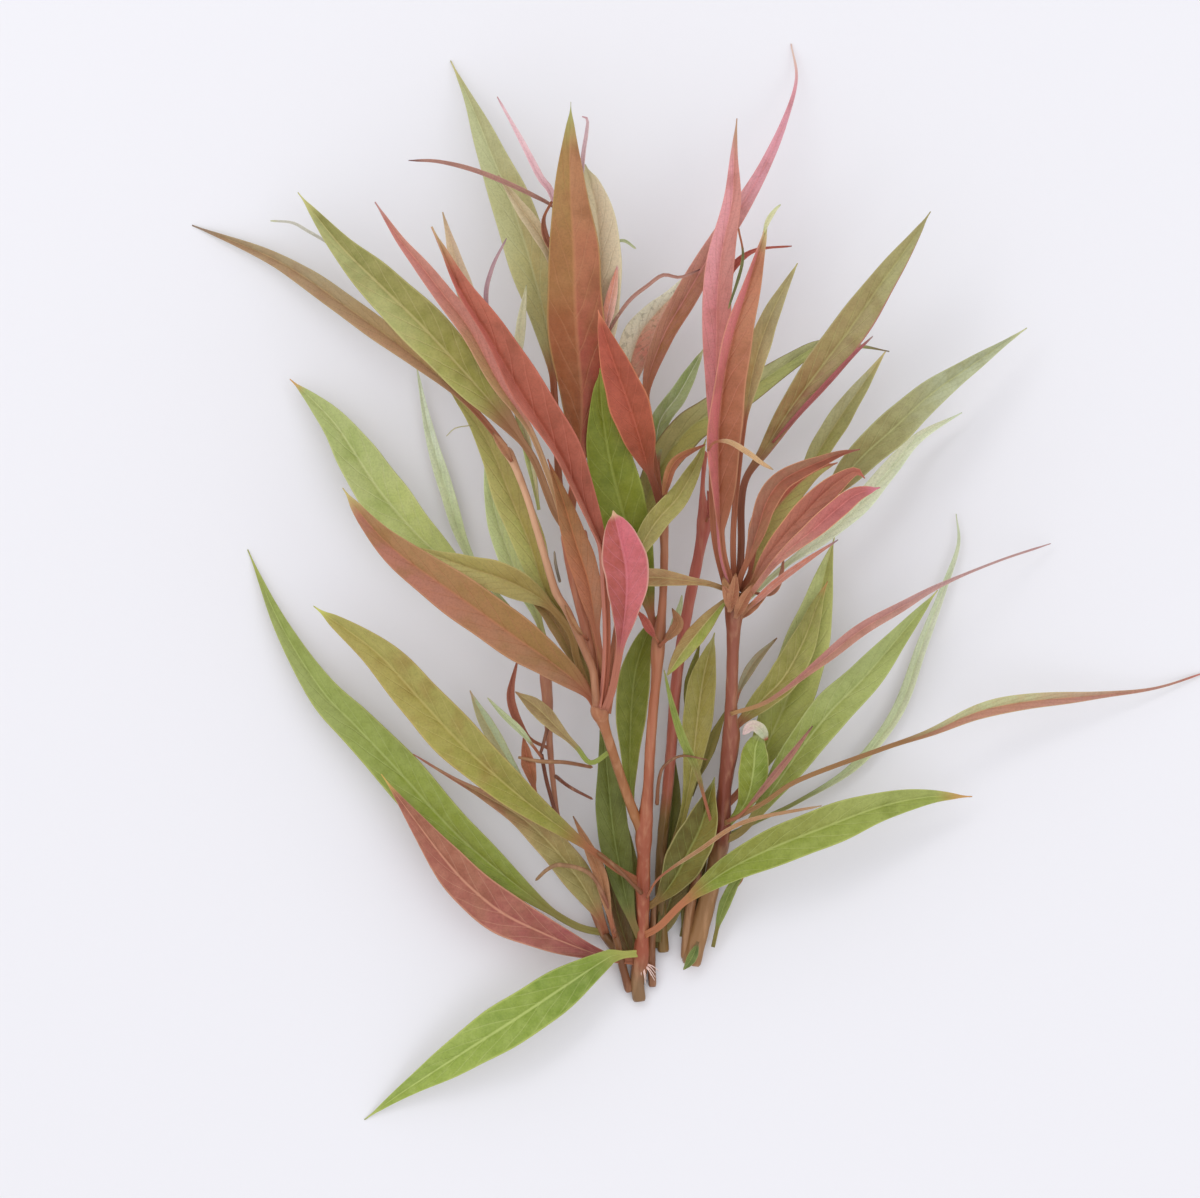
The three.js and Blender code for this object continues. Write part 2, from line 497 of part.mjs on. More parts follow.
leaf("leaf_red_brown_right", "redBrown", stemRight, {
  width: 5.2, petiole: 0.12, widest: 0.55, taper: 0.9,
}, [
  [148.4, 120.8, 23], [150.6, 123.6, 25.6], [152.6, 127.6, 27.8], [156, 132, 29.2],
  [160, 136.4, 30], [164, 140.6, 30.2], [168, 144, 29.6], [171, 145.6, 28.6], [172.8, 144.2, 27.6],
]);
leaf("leaf_pink_red_right", "redBrown", stemRight, {
  width: 4.2, petiole: 0.1, widest: 0.68, taper: 0.9,
}, [
  [148, 119.6, 22.8], [150, 121.2, 27], [152.4, 124.4, 29.2], [154.8, 127.4, 30.8],
  [158, 130.4, 31.8], [162.4, 134, 32.6], [167, 138, 32.6], [171, 141, 31.6], [175.8, 142.4, 29.8],
]);
leaf("leaf_green_hanging", "green", stemRight, {
  width: 4, petiole: 0.05, widest: 0.5, taper: 0.8,
}, [
  [145.6, 120.4, 24], [143.8, 118.6, 24.6], [140, 114.1, 24], [136.4, 109.5, 23],
  [133.4, 104.9, 22.4],
]);
leaf("leaf_brown_pointing_left", "brown", stemRight, {
  width: 3.8, petiole: 0.02, widest: 0.75, taper: 0.6,
}, [
  [145.4, 122, 23], [142, 123.2, 24], [138, 123.8, 24], [133, 124.4, 23.5], [129, 124.6, 23.5],
  [125, 125, 23],
]);

export default plant;
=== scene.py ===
"""Looks of one cut bunch of Alternanthera rosaefolia, lying on its back on a flat surface.

The stems and leaves are laid out on a sheet in millimetres: x from its left edge, y from its
lower edge, z above the surface. Each piece follows a smooth curve through points of the sheet.
"""

from __future__ import annotations

import logging
import math
from dataclasses import dataclass, replace
from enum import Enum

import bpy
import numpy as np
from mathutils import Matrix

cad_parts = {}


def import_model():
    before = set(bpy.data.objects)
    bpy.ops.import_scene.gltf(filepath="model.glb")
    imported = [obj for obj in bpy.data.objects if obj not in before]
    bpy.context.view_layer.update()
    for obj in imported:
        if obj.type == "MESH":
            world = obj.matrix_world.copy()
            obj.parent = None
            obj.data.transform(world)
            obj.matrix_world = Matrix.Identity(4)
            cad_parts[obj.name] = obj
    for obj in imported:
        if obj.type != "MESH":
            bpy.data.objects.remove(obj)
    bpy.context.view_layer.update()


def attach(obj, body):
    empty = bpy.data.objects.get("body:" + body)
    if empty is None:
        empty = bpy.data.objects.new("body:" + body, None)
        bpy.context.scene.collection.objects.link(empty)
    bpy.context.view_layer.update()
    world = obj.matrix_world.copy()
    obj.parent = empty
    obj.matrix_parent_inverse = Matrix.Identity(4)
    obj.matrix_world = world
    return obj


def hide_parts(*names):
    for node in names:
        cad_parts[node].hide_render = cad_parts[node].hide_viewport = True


LOG = logging.getLogger("alternanthera")

MM = 0.001
SHEET_MIDDLE = np.array([140.29, 123.64, 0.0])
UP = np.array([0.0, 0.0, 1.0])

# Sizes shared with the solids, in millimetres.
PETIOLE_WIDTH = 1.5  # of a broad leaf
LEAST_PETIOLE = 0.3
PETIOLE_SHARE = 0.2  # of a narrow leaf's width, on top of the least
TIP_WIDTH = 0.4
LIES = 0.2  # height of the middle of a tip that lies on the surface

# How finely the surfaces are divided.
CURVE_STEPS = 60  # points of a curve's length table for each span
LEAF_ROW = 1.0  # millimetres from row to row along a leaf
FEWEST_ROWS = 20
MOST_ROWS = 110
STEM_ROW = 0.45
STEM_SIDES = 28
DOME = 1.6  # length of a stem's rounded far end, as a share of its radius there
LEAST_RADIUS = 0.06
ACROSS = np.array([0, 0.05, 0.12, 0.22, 0.36, 0.52, 0.68, 0.82, 0.92, 0.975, 1.0])

# Share of a leaf's own map, from stem to tip, that is its stalk.
STALK_SHARE = 0.15

# Forms of a leaf's outline.
STALK_NARROWS = (0.05, 0.6)  # span of the blade over which its least width falls to the tip's
SHARPENS_FROM = 0.93  # of the blade
SHARPENING = 0.7  # share of the width that is lost from there to the tip
LEAF_UNEVEN = 0.02  # share of the width
LEAF_BULGES = 9  # half-waves of that unevenness along the blade
LEAST_STALK = 0.01  # share of the leaf that a stalk takes at least on its map

# Forms of a leaf's cross-section. Heights are shares of half its width.
RELIEF_SPAN = (0.0, 0.15)  # of the blade, over which its relief grows in from the flat stalk
MIDRIB_TURN = 0.08  # share of half the width over which one half's tilt turns into the other's
ARCH = 0.16  # four times the height of each half between midrib and rim
WAVES = (2.6, 2.9)  # ripples of the left and right margins along the blade
VEIN_SLANT = 1.9  # how many veins a vein crosses on its way from midrib to rim
SWELL = 0.022  # four times the height of the swelling between two veins
GROOVE = 0.14  # millimetres that the groove over the midrib is deep
GROOVE_REACH = 0.4  # millimetres
RIB_REACH = 0.5  # millimetres
RIM_POWER = 8  # how squarely the thickness closes at the rim
THINS_FROM = 0.3  # of the blade
THINNING = 0.45  # share of the thickness that is lost from there to the tip
RIB_THINNING = 0.85  # share of the rib's height that is lost towards the tip
FULL_RIB_WIDTH = 5  # width of a leaf, in millimetres, from which its rib has its full height

# Forms of a stem.
FEWEST_STEM_ROWS = 8
RIDGES = 7  # round the stem
RIDGE_TWIST = 0.05  # radians a millimetre
STEM_UNEVEN = 0.02  # share of the radius
STEM_BULGES = 2  # of that unevenness round the stem
BULGE_TWIST = 1.3  # radians a millimetre
CUT_EDGE = 0.15  # share of the radius that is rounded off at the cut end
CUT_EDGE_LENGTH = 0.4  # millimetres

# Spans of a piece's own map over which its layers appear. Across a leaf they count from the
# midrib at 0 to the rim at 1, and along it from the stem at 0 to the tip at 1.
HALVES_MEET = (0.47, 0.53)  # from the left margin at 0 to the right one at 1
VEIN_LINE = (0.4, 0.5)  # of the way between two veins, with the vein itself at 0.5
VEINS_END = (1.0, 0.75)
MIDRIB_SPAN = (0.1, 0.02)
RIM_SPAN = (0.9, 0.985)
TIP_FULL = 0.995
SHADE_SPAN = (0.5, 0.15)
TURN_REACH = 0.22  # either side of the middle of the change of colour
STALK_REACH = 0.06  # either side of the stalk's end
CUT_REACH = 0.04  # the same for the colour of a stem's cut end
STEM_SPAN = (0.2, 0.8)  # of a stem, from its cut end at 0 to its crown at 1

# How far the slow drift moves things.
DRIFT_REACH = 0.15  # share of the leaf by which the change of colour comes sooner or later
VEIN_WANDER = 0.9  # of the way from a vein to the next

# Strengths of the layers.
BLOTCH_SHARE = 0.22
GRAIN_SHARE = 0.16
VEIN_SHARE = 0.26
UNDER_SHARE = 0.75
STREAK_SHARE = 0.22
LEAF_SHINE = 0.25
STEM_SHINE = 0.35
LEAF_BUMP = 0.00022  # metres
LEAF_BUMP_STRENGTH = 0.55
STEM_BUMP = 0.0002
STEM_BUMP_STRENGTH = 0.5
VEIN_HEIGHT = -0.7  # share of the leaf's bump
GRAIN_HEIGHT = 0.35
BLOTCH_HEIGHT = 0.5
ROUGH_LESS = 0.1  # off the roughness where there is no blotch or streak
LEAF_ROUGH_MORE = 0.25  # on top of that where a blotch is strongest
STEM_ROUGH_MORE = 0.2  # the same for a dark streak
DARK = (0.02, 0.02, 0.01, 1.0)  # shader colour of fine grain and shade
PALE_STREAK = (225, 175, 135)
DARK_STREAK = (95, 45, 28)

Triple = tuple[float, float, float]
Colour = Triple
Points = tuple[tuple[float, ...], ...]


@dataclass(frozen=True)
class Noise:
    """Smooth noise over a piece, and the span of its values over which a layer appears."""

    scale: float  # grains to a metre
    detail: float  # finer layers of noise on top
    low: float = 0.0
    high: float = 1.0
    stretch: Triple = (1, 1, 1)  # what each coordinate is multiplied by first


DRIFT = Noise(70, 2)  # slow drift of a leaf's colours
PATCHES = Noise(170, 5, 0.47, 0.72)
BLOTCHES = Noise(420, 3, 0.3, 0.75)
GRAIN = Noise(2600, 2, 0.35, 0.75)
SPOTS = Noise(900, 2, 0.56, 0.66)
STREAKS = Noise(900, 3, 0.45, 0.75, (1, 0.12, 1))
DARK_STREAKS = Noise(300, 4, 0.5, 0.8, (1, 0.4, 1))


class Slot(Enum):
    """The record's material slots."""

    STEM_RED = "stem_red"
    STEM_PINK = "stem_pink"
    STEM_DARK = "stem_dark"
    TAN = "leaf_tan"
    OLIVE = "leaf_olive"
    RED_BROWN = "leaf_red_brown"
    PALE_GREEN = "leaf_pale_green"
    ORANGE = "leaf_orange"
    BROWN = "leaf_brown"
    PINK = "leaf_pink"
    GREEN = "leaf_green"
    RED = "leaf_red"
    YELLOW_GREEN = "leaf_yellow_green"
    DARK_GREEN = "leaf_dark_green"


def linear(colour: Colour) -> tuple[float, float, float, float]:
    """Turns a display colour of 0 to 255 into the linear colour that a shader takes.

    Args:
        colour: Red, green and blue as a screen shows them.

    Returns:
        Linear red, green, blue and an alpha of 1.
    """
    shown = np.array(colour) / 255
    light = np.where(shown <= 0.04045, shown / 12.92, ((shown + 0.055) / 1.055) ** 2.4)
    return (*light.tolist(), 1.0)


def smooth(value: np.ndarray, low: float, high: float) -> np.ndarray:
    """Rises from 0 at low to 1 at high as 3t^2 - 2t^3, with t the share of the way."""
    share = np.clip((value - low) / (high - low), 0, 1)
    return share * share * (3 - 2 * share)


@dataclass(frozen=True)
class Path:
    """A smooth curve through points of any number of values, measured along its length."""

    points: Points

    def at_spans(self, place: np.ndarray) -> np.ndarray:
        """Reads the curve at places counted in spans from the first point.

        Each span is the uniform Catmull-Rom cubic: half of 2b + (c-a)f + (2a-5b+4c-d)f^2 +
        (3b-3c+d-a)f^3, with a, b, c, d the four points round the span and f the share of it.
        """
        given = np.array(self.points, float)
        before = 2 * given[0] - given[1]
        after = 2 * given[-1] - given[-2]
        all_points = np.vstack([before, given, after])
        span = np.clip(np.floor(place).astype(int), 0, len(given) - 2)
        f = (place - span)[:, None]
        a, b, c, d = (all_points[span + step] for step in range(4))
        cubic = 3 * b - 3 * c + d - a
        square = 2 * a - 5 * b + 4 * c - d
        return (2 * b + (c - a) * f + square * f**2 + cubic * f**3) / 2

    def measured(self) -> tuple[np.ndarray, np.ndarray]:
        """Places all along the curve, counted in spans, and the length reached at each."""
        spans = len(self.points) - 1
        place = np.linspace(0, spans, spans * CURVE_STEPS + 1)
        steps = np.diff(self.at_spans(place)[:, :3], axis=0)
        return place, np.concatenate([[0], np.cumsum(np.linalg.norm(steps, axis=1))])

    def length(self) -> float:
        """The length of the curve in millimetres."""
        _, reached = self.measured()
        return float(reached[-1])

    def frames(self, along: np.ndarray) -> tuple[np.ndarray, np.ndarray, np.ndarray]:
        """Places and directions at shares of the curve's length.

        Args:
            along: Shares of the length, from 0 to 1.

        Returns:
            The values at each share, and the directions to the right and outwards.
        """
        place, reached = self.measured()
        values = self.at_spans(np.interp(along * reached[-1], reached, place))
        ahead = np.gradient(values[:, :3], axis=0)
        ahead /= np.linalg.norm(ahead, axis=1, keepdims=True)
        right = np.cross(ahead, UP)
        right /= np.linalg.norm(right, axis=1, keepdims=True)
        return values, right, np.cross(right, ahead)


class Wiring:
    """Adds the nodes of one material and joins them."""

    def __init__(self, name: str) -> None:
        """Starts a material with its plain principled shader."""
        self.material = bpy.data.materials.new(name)
        self.material.use_nodes = True
        self.tree = self.material.node_tree
        self.shader = self.tree.nodes["Principled BSDF"]

    def put(self, item: object, socket: bpy.types.NodeSocket) -> None:
        """Joins a socket to another, or gives it a plain value."""
        if isinstance(item, bpy.types.NodeSocket):
            self.tree.links.new(item, socket)
        else:
            socket.default_value = item

    def value(self, operation: str, *items: object) -> bpy.types.NodeSocket:
        """One arithmetic step on up to three numbers."""
        node = self.tree.nodes.new("ShaderNodeMath")
        node.operation = operation
        for item, socket in zip(items, node.inputs):
            self.put(item, socket)
        return node.outputs[0]

    def rise(self, item: object, low: float, high: float, top: float = 1.0) -> bpy.types.NodeSocket:
        """A smooth rise from 0 where item is low to top where it is high."""
        node = self.tree.nodes.new("ShaderNodeMapRange")
        node.interpolation_type = "SMOOTHSTEP"
        for number, socket in zip((item, low, high, 0.0, top), node.inputs):
            self.put(number, socket)
        return node.outputs[0]

    def mix(self, share: object, first: object, second: object) -> bpy.types.NodeSocket:
        """The first colour where share is 0 and the second where it is 1."""
        node = self.tree.nodes.new("ShaderNodeMix")
        node.data_type = "RGBA"
        # The node has a set of sockets for each kind of data. These are the ones for colours.
        for item, index in ((share, 0), (first, 6), (second, 7)):
            self.put(item, node.inputs[index])
        return node.outputs[2]

    def noise(self, kind: Noise) -> bpy.types.NodeSocket:
        """Noise of a kind over the piece's own coordinates, from 0 to 1."""
        place = self.tree.nodes.new("ShaderNodeTexCoord")
        mapping = self.tree.nodes.new("ShaderNodeMapping")
        mapping.inputs["Scale"].default_value = kind.stretch
        node = self.tree.nodes.new("ShaderNodeTexNoise")
        node.inputs["Scale"].default_value = kind.scale
        node.inputs["Detail"].default_value = kind.detail
        self.put(place.outputs["Object"], mapping.inputs["Vector"])
        self.put(mapping.outputs["Vector"], node.inputs["Vector"])
        return node.outputs[0]

    def layer(self, noise: bpy.types.NodeSocket, kind: Noise, share: float) -> bpy.types.NodeSocket:
        """How strongly a layer of that kind of noise shows, up to share."""
        return self.rise(noise, kind.low, kind.high, share)

    def map_place(self, name: str) -> tuple[bpy.types.NodeSocket, bpy.types.NodeSocket]:
        """The two coordinates of the piece's own map of that name."""
        node = self.tree.nodes.new("ShaderNodeUVMap")
        node.uv_map = name
        split = self.tree.nodes.new("ShaderNodeSeparateXYZ")
        self.put(node.outputs["UV"], split.inputs["Vector"])
        return split.outputs[0], split.outputs[1]

    def stored(self, name: str) -> bpy.types.NodeSocket:
        """A number that the mesh stores at each point."""
        node = self.tree.nodes.new("ShaderNodeAttribute")
        node.attribute_name = name
        return node.outputs["Fac"]

    def bump(self, height: bpy.types.NodeSocket, distance: float, strength: float) -> None:
        """Raises the finish by height times distance."""
        node = self.tree.nodes.new("ShaderNodeBump")
        node.inputs["Distance"].default_value = distance
        node.inputs["Strength"].default_value = strength
        self.put(height, node.inputs["Height"])
        self.put(node.outputs["Normal"], self.shader.inputs["Normal"])


@dataclass(frozen=True)
class LeafSkin:
    """The finish of a leaf, in display colours, for its face as seen from base to tip."""

    left: Colour
    right: Colour
    left_end: Colour | None = None  # towards the tip, where it isn't the same
    right_end: Colour | None = None
    turns: float = 0.55  # share of the leaf where the colours have changed half-way to the end ones
    tip: Colour = (200, 190, 115)
    tip_from: float = 0.9  # share of the leaf
    stalk: Colour = (160, 98, 70)
    stalk_to: float = 0.2  # share of the leaf
    rib: Colour = (205, 190, 130)  # also of the lateral veins and blotches
    rib_share: float = 0.45  # how strongly the midrib shows
    rim: Colour = (205, 195, 130)
    right_rim: Colour | None = None
    rim_share: float = 0.5
    under: Colour = (170, 160, 115)
    patch: Colour = (120, 95, 50)  # also of the spots
    patch_share: float = 0.3
    spots: float = 0.0  # how strongly they show
    veins: float = 12.0  # lateral veins on each half
    shade: float = 0.16  # how much darker the leaf is next to its stalk
    rough: float = 0.42

    def material(self, name: str) -> bpy.types.Material:
        """Builds the leaf's finish from its own map, x from left to right and y from stem to tip.

        Colour is the four corner colours mixed by place, then patches, blotches, fine grain,
        forward-slanting lateral veins, midrib, rim, tip, shade near the stalk, stalk, spots and
        underside in that order.
        """
        w = Wiring(name)
        x, y = w.map_place("leaf")
        across = w.value("ABSOLUTE", w.value("MULTIPLY_ADD", x, 2.0, -1.0))
        drift = w.noise(DRIFT)
        moved = w.value("MULTIPLY_ADD", drift, 2 * DRIFT_REACH, -DRIFT_REACH)
        place = w.value("ADD", y, moved)
        late = w.rise(place, self.turns - TURN_REACH, self.turns + TURN_REACH)
        left = w.mix(late, linear(self.left), linear(self.left_end or self.left))
        right = w.mix(late, linear(self.right), linear(self.right_end or self.right))
        right_side = w.rise(x, *HALVES_MEET)
        colour = w.mix(right_side, left, right)
        patches = w.layer(w.noise(PATCHES), PATCHES, self.patch_share)
        colour = w.mix(patches, colour, linear(self.patch))
        blotches = w.noise(BLOTCHES)
        colour = w.mix(w.layer(blotches, BLOTCHES, BLOTCH_SHARE), colour, linear(self.rib))
        grain = w.noise(GRAIN)
        colour = w.mix(w.layer(grain, GRAIN, GRAIN_SHARE), colour, DARK)
        slant = w.value("MULTIPLY_ADD", across, -VEIN_SLANT, w.value("MULTIPLY", y, self.veins))
        wander = w.value("MULTIPLY_ADD", drift, VEIN_WANDER, slant)
        wave = w.value("PINGPONG", wander, 0.5)  # rises to 0.5 and falls back once a vein
        line = w.rise(wave, *VEIN_LINE)
        inside = w.value("MULTIPLY", line, w.rise(across, *VEINS_END))
        colour = w.mix(w.value("MULTIPLY", inside, VEIN_SHARE), colour, linear(self.rib))
        midrib = w.value("MULTIPLY", w.rise(across, *MIDRIB_SPAN), self.rib_share)
        colour = w.mix(midrib, colour, linear(self.rib))
        rim = w.mix(right_side, linear(self.rim), linear(self.right_rim or self.rim))
        colour = w.mix(w.rise(across, *RIM_SPAN, self.rim_share), colour, rim)
        colour = w.mix(w.rise(y, self.tip_from, TIP_FULL), colour, linear(self.tip))
        colour = w.mix(w.rise(y, *SHADE_SPAN, self.shade), colour, DARK)
        on_stalk = w.rise(y, self.stalk_to + STALK_REACH, self.stalk_to - STALK_REACH)
        colour = w.mix(on_stalk, colour, linear(self.stalk))
        if self.spots:
            spots = w.layer(w.noise(SPOTS), SPOTS, self.spots)
            colour = w.mix(spots, colour, linear(self.patch))
        below = w.value("MULTIPLY", w.stored("below"), UNDER_SHARE)
        colour = w.mix(below, colour, linear(self.under))
        w.put(colour, w.shader.inputs["Base Color"])
        roughness = w.value("MULTIPLY_ADD", blotches, LEAF_ROUGH_MORE, self.rough - ROUGH_LESS)
        w.put(roughness, w.shader.inputs["Roughness"])
        w.put(LEAF_SHINE, w.shader.inputs["Specular IOR Level"])
        grains = w.value("MULTIPLY", grain, GRAIN_HEIGHT)
        height = w.value("MULTIPLY_ADD", inside, VEIN_HEIGHT, grains)
        height = w.value("MULTIPLY_ADD", blotches, BLOTCH_HEIGHT, height)
        w.bump(height, LEAF_BUMP, LEAF_BUMP_STRENGTH)
        return w.material


@dataclass(frozen=True)
class StemSkin:
    """The finish of a stem, in display colours from its cut end to its crown."""

    cut: Colour
    low: Colour
    high: Colour
    cut_to: float = 0.08  # share of the stem
    rough: float = 0.36

    def material(self, name: str) -> bpy.types.Material:
        """Builds the stem's finish: three colours along its map's y, with lengthwise streaks."""
        w = Wiring(name)
        _, y = w.map_place("stem")
        colour = w.mix(w.rise(y, *STEM_SPAN), linear(self.low), linear(self.high))
        near_cut = w.rise(y, self.cut_to + CUT_REACH, self.cut_to - CUT_REACH)
        colour = w.mix(near_cut, colour, linear(self.cut))
        streaks = w.noise(STREAKS)
        colour = w.mix(w.layer(streaks, STREAKS, STREAK_SHARE), colour, linear(PALE_STREAK))
        dark = w.noise(DARK_STREAKS)
        colour = w.mix(w.layer(dark, DARK_STREAKS, STREAK_SHARE), colour, linear(DARK_STREAK))
        w.put(colour, w.shader.inputs["Base Color"])
        roughness = w.value("MULTIPLY_ADD", dark, STEM_ROUGH_MORE, self.rough - ROUGH_LESS)
        w.put(roughness, w.shader.inputs["Roughness"])
        w.put(STEM_SHINE, w.shader.inputs["Specular IOR Level"])
        w.bump(streaks, STEM_BUMP, STEM_BUMP_STRENGTH)
        return w.material


@dataclass(frozen=True)
class Surface:
    """A closed surface through rings of equally many points, in sheet millimetres."""

    rings: np.ndarray  # rows, points of a ring, 3
    place: np.ndarray  # rows, points of a ring, 2: each point's place on the piece's own map
    below: np.ndarray  # rows, points of a ring: 1 on the underside

    def build(self, name: str, map_name: str) -> bpy.types.Object:
        """Puts the surface into a mesh object with its map, closed at both ends by a flat face.

        Args:
            name: The piece's name.
            map_name: The name of its map.

        Returns:
            The object, in the row's frame.
        """
        rows, size, _ = self.rings.shape
        ring, side = np.meshgrid(np.arange(rows - 1), np.arange(size), indexing="ij")
        a = ring * size + side
        b = ring * size + (side + 1) % size
        quads = np.stack([a, b, b + size, a + size], axis=-1).reshape(-1, 4)
        ends = [list(range(size - 1, -1, -1)), list(range((rows - 1) * size, rows * size))]
        points = self.rings.reshape(-1, 3).copy()
        points[:, 2] = np.maximum(points[:, 2], 0)
        mesh = bpy.data.meshes.new(name)
        mesh.from_pydata(((points - SHEET_MIDDLE) * MM).tolist(), [], quads.tolist() + ends)
        mesh.polygons.foreach_set("use_smooth", np.ones(len(mesh.polygons), bool))
        corners = np.empty(len(mesh.loops), np.int32)
        mesh.loops.foreach_get("vertex_index", corners)
        layer = mesh.uv_layers.new(name=map_name)
        on_map = self.place.reshape(-1, 2)[corners].astype(np.float32)
        layer.uv.foreach_set("vector", on_map.ravel())
        stored = mesh.attributes.new("below", "FLOAT", "POINT")
        stored.data.foreach_set("value", self.below.astype(np.float32).ravel())
        mesh.update()
        piece = bpy.data.objects.new(name, mesh)
        bpy.context.scene.collection.objects.link(piece)
        return piece


@dataclass(frozen=True)
class Leaf:
    """One leaf from its stem to its tip, with its stalk, blade, folds and ripples."""

    name: str
    slot: Slot
    skin: LeafSkin
    points: Points
    width: float  # millimetres
    petiole: float = 0.2  # share of the leaf's length
    widest: float = 0.45  # share of the blade's length where it is widest
    taper: float = 1.1  # how fast the blade narrows towards both ends
    fold: float = 15.0  # degrees that each half is tilted upwards
    roll: float = 0.0  # degrees that the blade is turned down to the right
    ripple: float = 0.07  # height of the margins' ripples, as a share of half the width
    solid: bool = True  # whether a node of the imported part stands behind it
    thickness: float = 0.32  # millimetres
    rib: float = 0.75  # millimetres that the stalk and midrib stand out below

    def half_width(self, share: np.ndarray, phase: float) -> np.ndarray:
        """Half the width along the leaf, in millimetres.

        The blade is sin(pi s^(ln 0.5 / ln widest))^taper wide, joined to the stalk's and the
        tip's least widths as the root of the sum of squares, with a slow unevenness.
        """
        power = math.log(0.5) / math.log(self.widest)
        blade = self.width * np.sin(np.pi * share**power) ** self.taper
        stalk = min(PETIOLE_WIDTH, LEAST_PETIOLE + PETIOLE_SHARE * self.width)
        least = stalk + (TIP_WIDTH - stalk) * smooth(share, *STALK_NARROWS)
        point = 1 - SHARPENING * smooth(share, SHARPENS_FROM, 1)
        uneven = 1 + LEAF_UNEVEN * np.sin(LEAF_BULGES * np.pi * share + phase)
        return np.hypot(blade, least) / 2 * point * uneven

    def surface(self, seed: int) -> Surface:
        """Works out the leaf's closed surface.

        Across the leaf, v runs from -1 to 1. The two halves rise by the fold and roll angles
        about the midrib, arch between midrib and rim by (|v| - v^2), ripple by v^2 sin, and
        swell a little between the lateral veins. Top and underside lie half a thickness either
        side, the thickness closing as the root of 1 - v^8 at the rim, and the rib stands out
        below as exp(-(x/r)^2), with x the distance from the midrib.

        Args:
            seed: Number that the ripples' phases are drawn with.

        Returns:
            The surface, its map and its underside.
        """
        random = np.random.default_rng(seed)
        phases = random.uniform(0, 2 * np.pi, 3)
        path = Path(self.points)
        rows = int(np.clip(round(path.length() / LEAF_ROW), FEWEST_ROWS, MOST_ROWS))
        along = np.linspace(0, 1, rows + 1)
        values, right, out = path.frames(along)
        share = np.clip((along - self.petiole) / (1 - self.petiole), 0, 1)
        half = self.half_width(share, phases[0])[:, None]
        v = np.concatenate([-ACROSS[:0:-1], ACROSS])[None, :]
        side = np.abs(v)
        inside = smooth(share, *RELIEF_SPAN)[:, None]

        fold = np.radians(self.fold)
        roll = np.radians(self.roll)
        turn = np.clip(v / MIDRIB_TURN, -1, 1)
        tilt = fold * turn - roll
        x = v * half
        flat = x * np.cos(tilt)
        rise = x * np.sin(tilt)

        blade = inside * half
        between = (side - side**2) * blade
        arch = ARCH * between
        left_wave, right_wave = (
            np.sin(2 * np.pi * count * share + phase)[:, None]
            for count, phase in zip(WAVES, phases[1:])
        )
        wave = np.where(v < 0, left_wave, right_wave) * side**2 * self.ripple * blade
        veins = np.sin(2 * np.pi * (self.skin.veins * share[:, None] - VEIN_SLANT * side))
        swell = SWELL * veins * between
        groove = -GROOVE * np.exp(-((x / GROOVE_REACH) ** 2)) * inside
        lift = arch + wave + swell

        closing = np.sqrt(1 - side**RIM_POWER)
        thin = 1 - THINNING * smooth(share, THINS_FROM, 1)[:, None]
        skin = self.thickness * closing * thin / 2
        stands = self.rib * (1 - RIB_THINNING * share[:, None])
        stands *= min(1.0, self.width / FULL_RIB_WIDTH)
        below = stands * np.exp(-((x / RIB_REACH) ** 2)) * closing

        def placed(height: np.ndarray) -> np.ndarray:
            """Points at a height along each half's own normal, as rows, columns, 3."""
            to_right = (flat - height * np.sin(tilt))[..., None] * right[:, None]
            outward = (rise + height * np.cos(tilt))[..., None] * out[:, None]
            return values[:, None, :3] + to_right + outward

        top = placed(lift + groove + skin)
        under = placed(lift + groove - skin - below)
        rings = np.concatenate([top, under[:, -2:0:-1]], axis=1)
        stalk = np.clip(along / max(self.petiole, LEAST_STALK), 0, 1) * STALK_SHARE
        y = stalk + (1 - STALK_SHARE) * share
        columns = np.concatenate([v[0], v[0, -2:0:-1]])
        place = np.stack(np.broadcast_arrays((columns[None] + 1) / 2, y[:, None]), axis=-1)
        low = np.concatenate([np.zeros(v.size), np.ones(v.size - 2)])
        return Surface(rings, place, np.broadcast_to(low, rings.shape[:2]))

    def build(self, seed: int) -> None:
        """Builds the leaf and dresses it."""
        dress(self.surface(seed).build(f"{self.name}_surface", "leaf"), self)


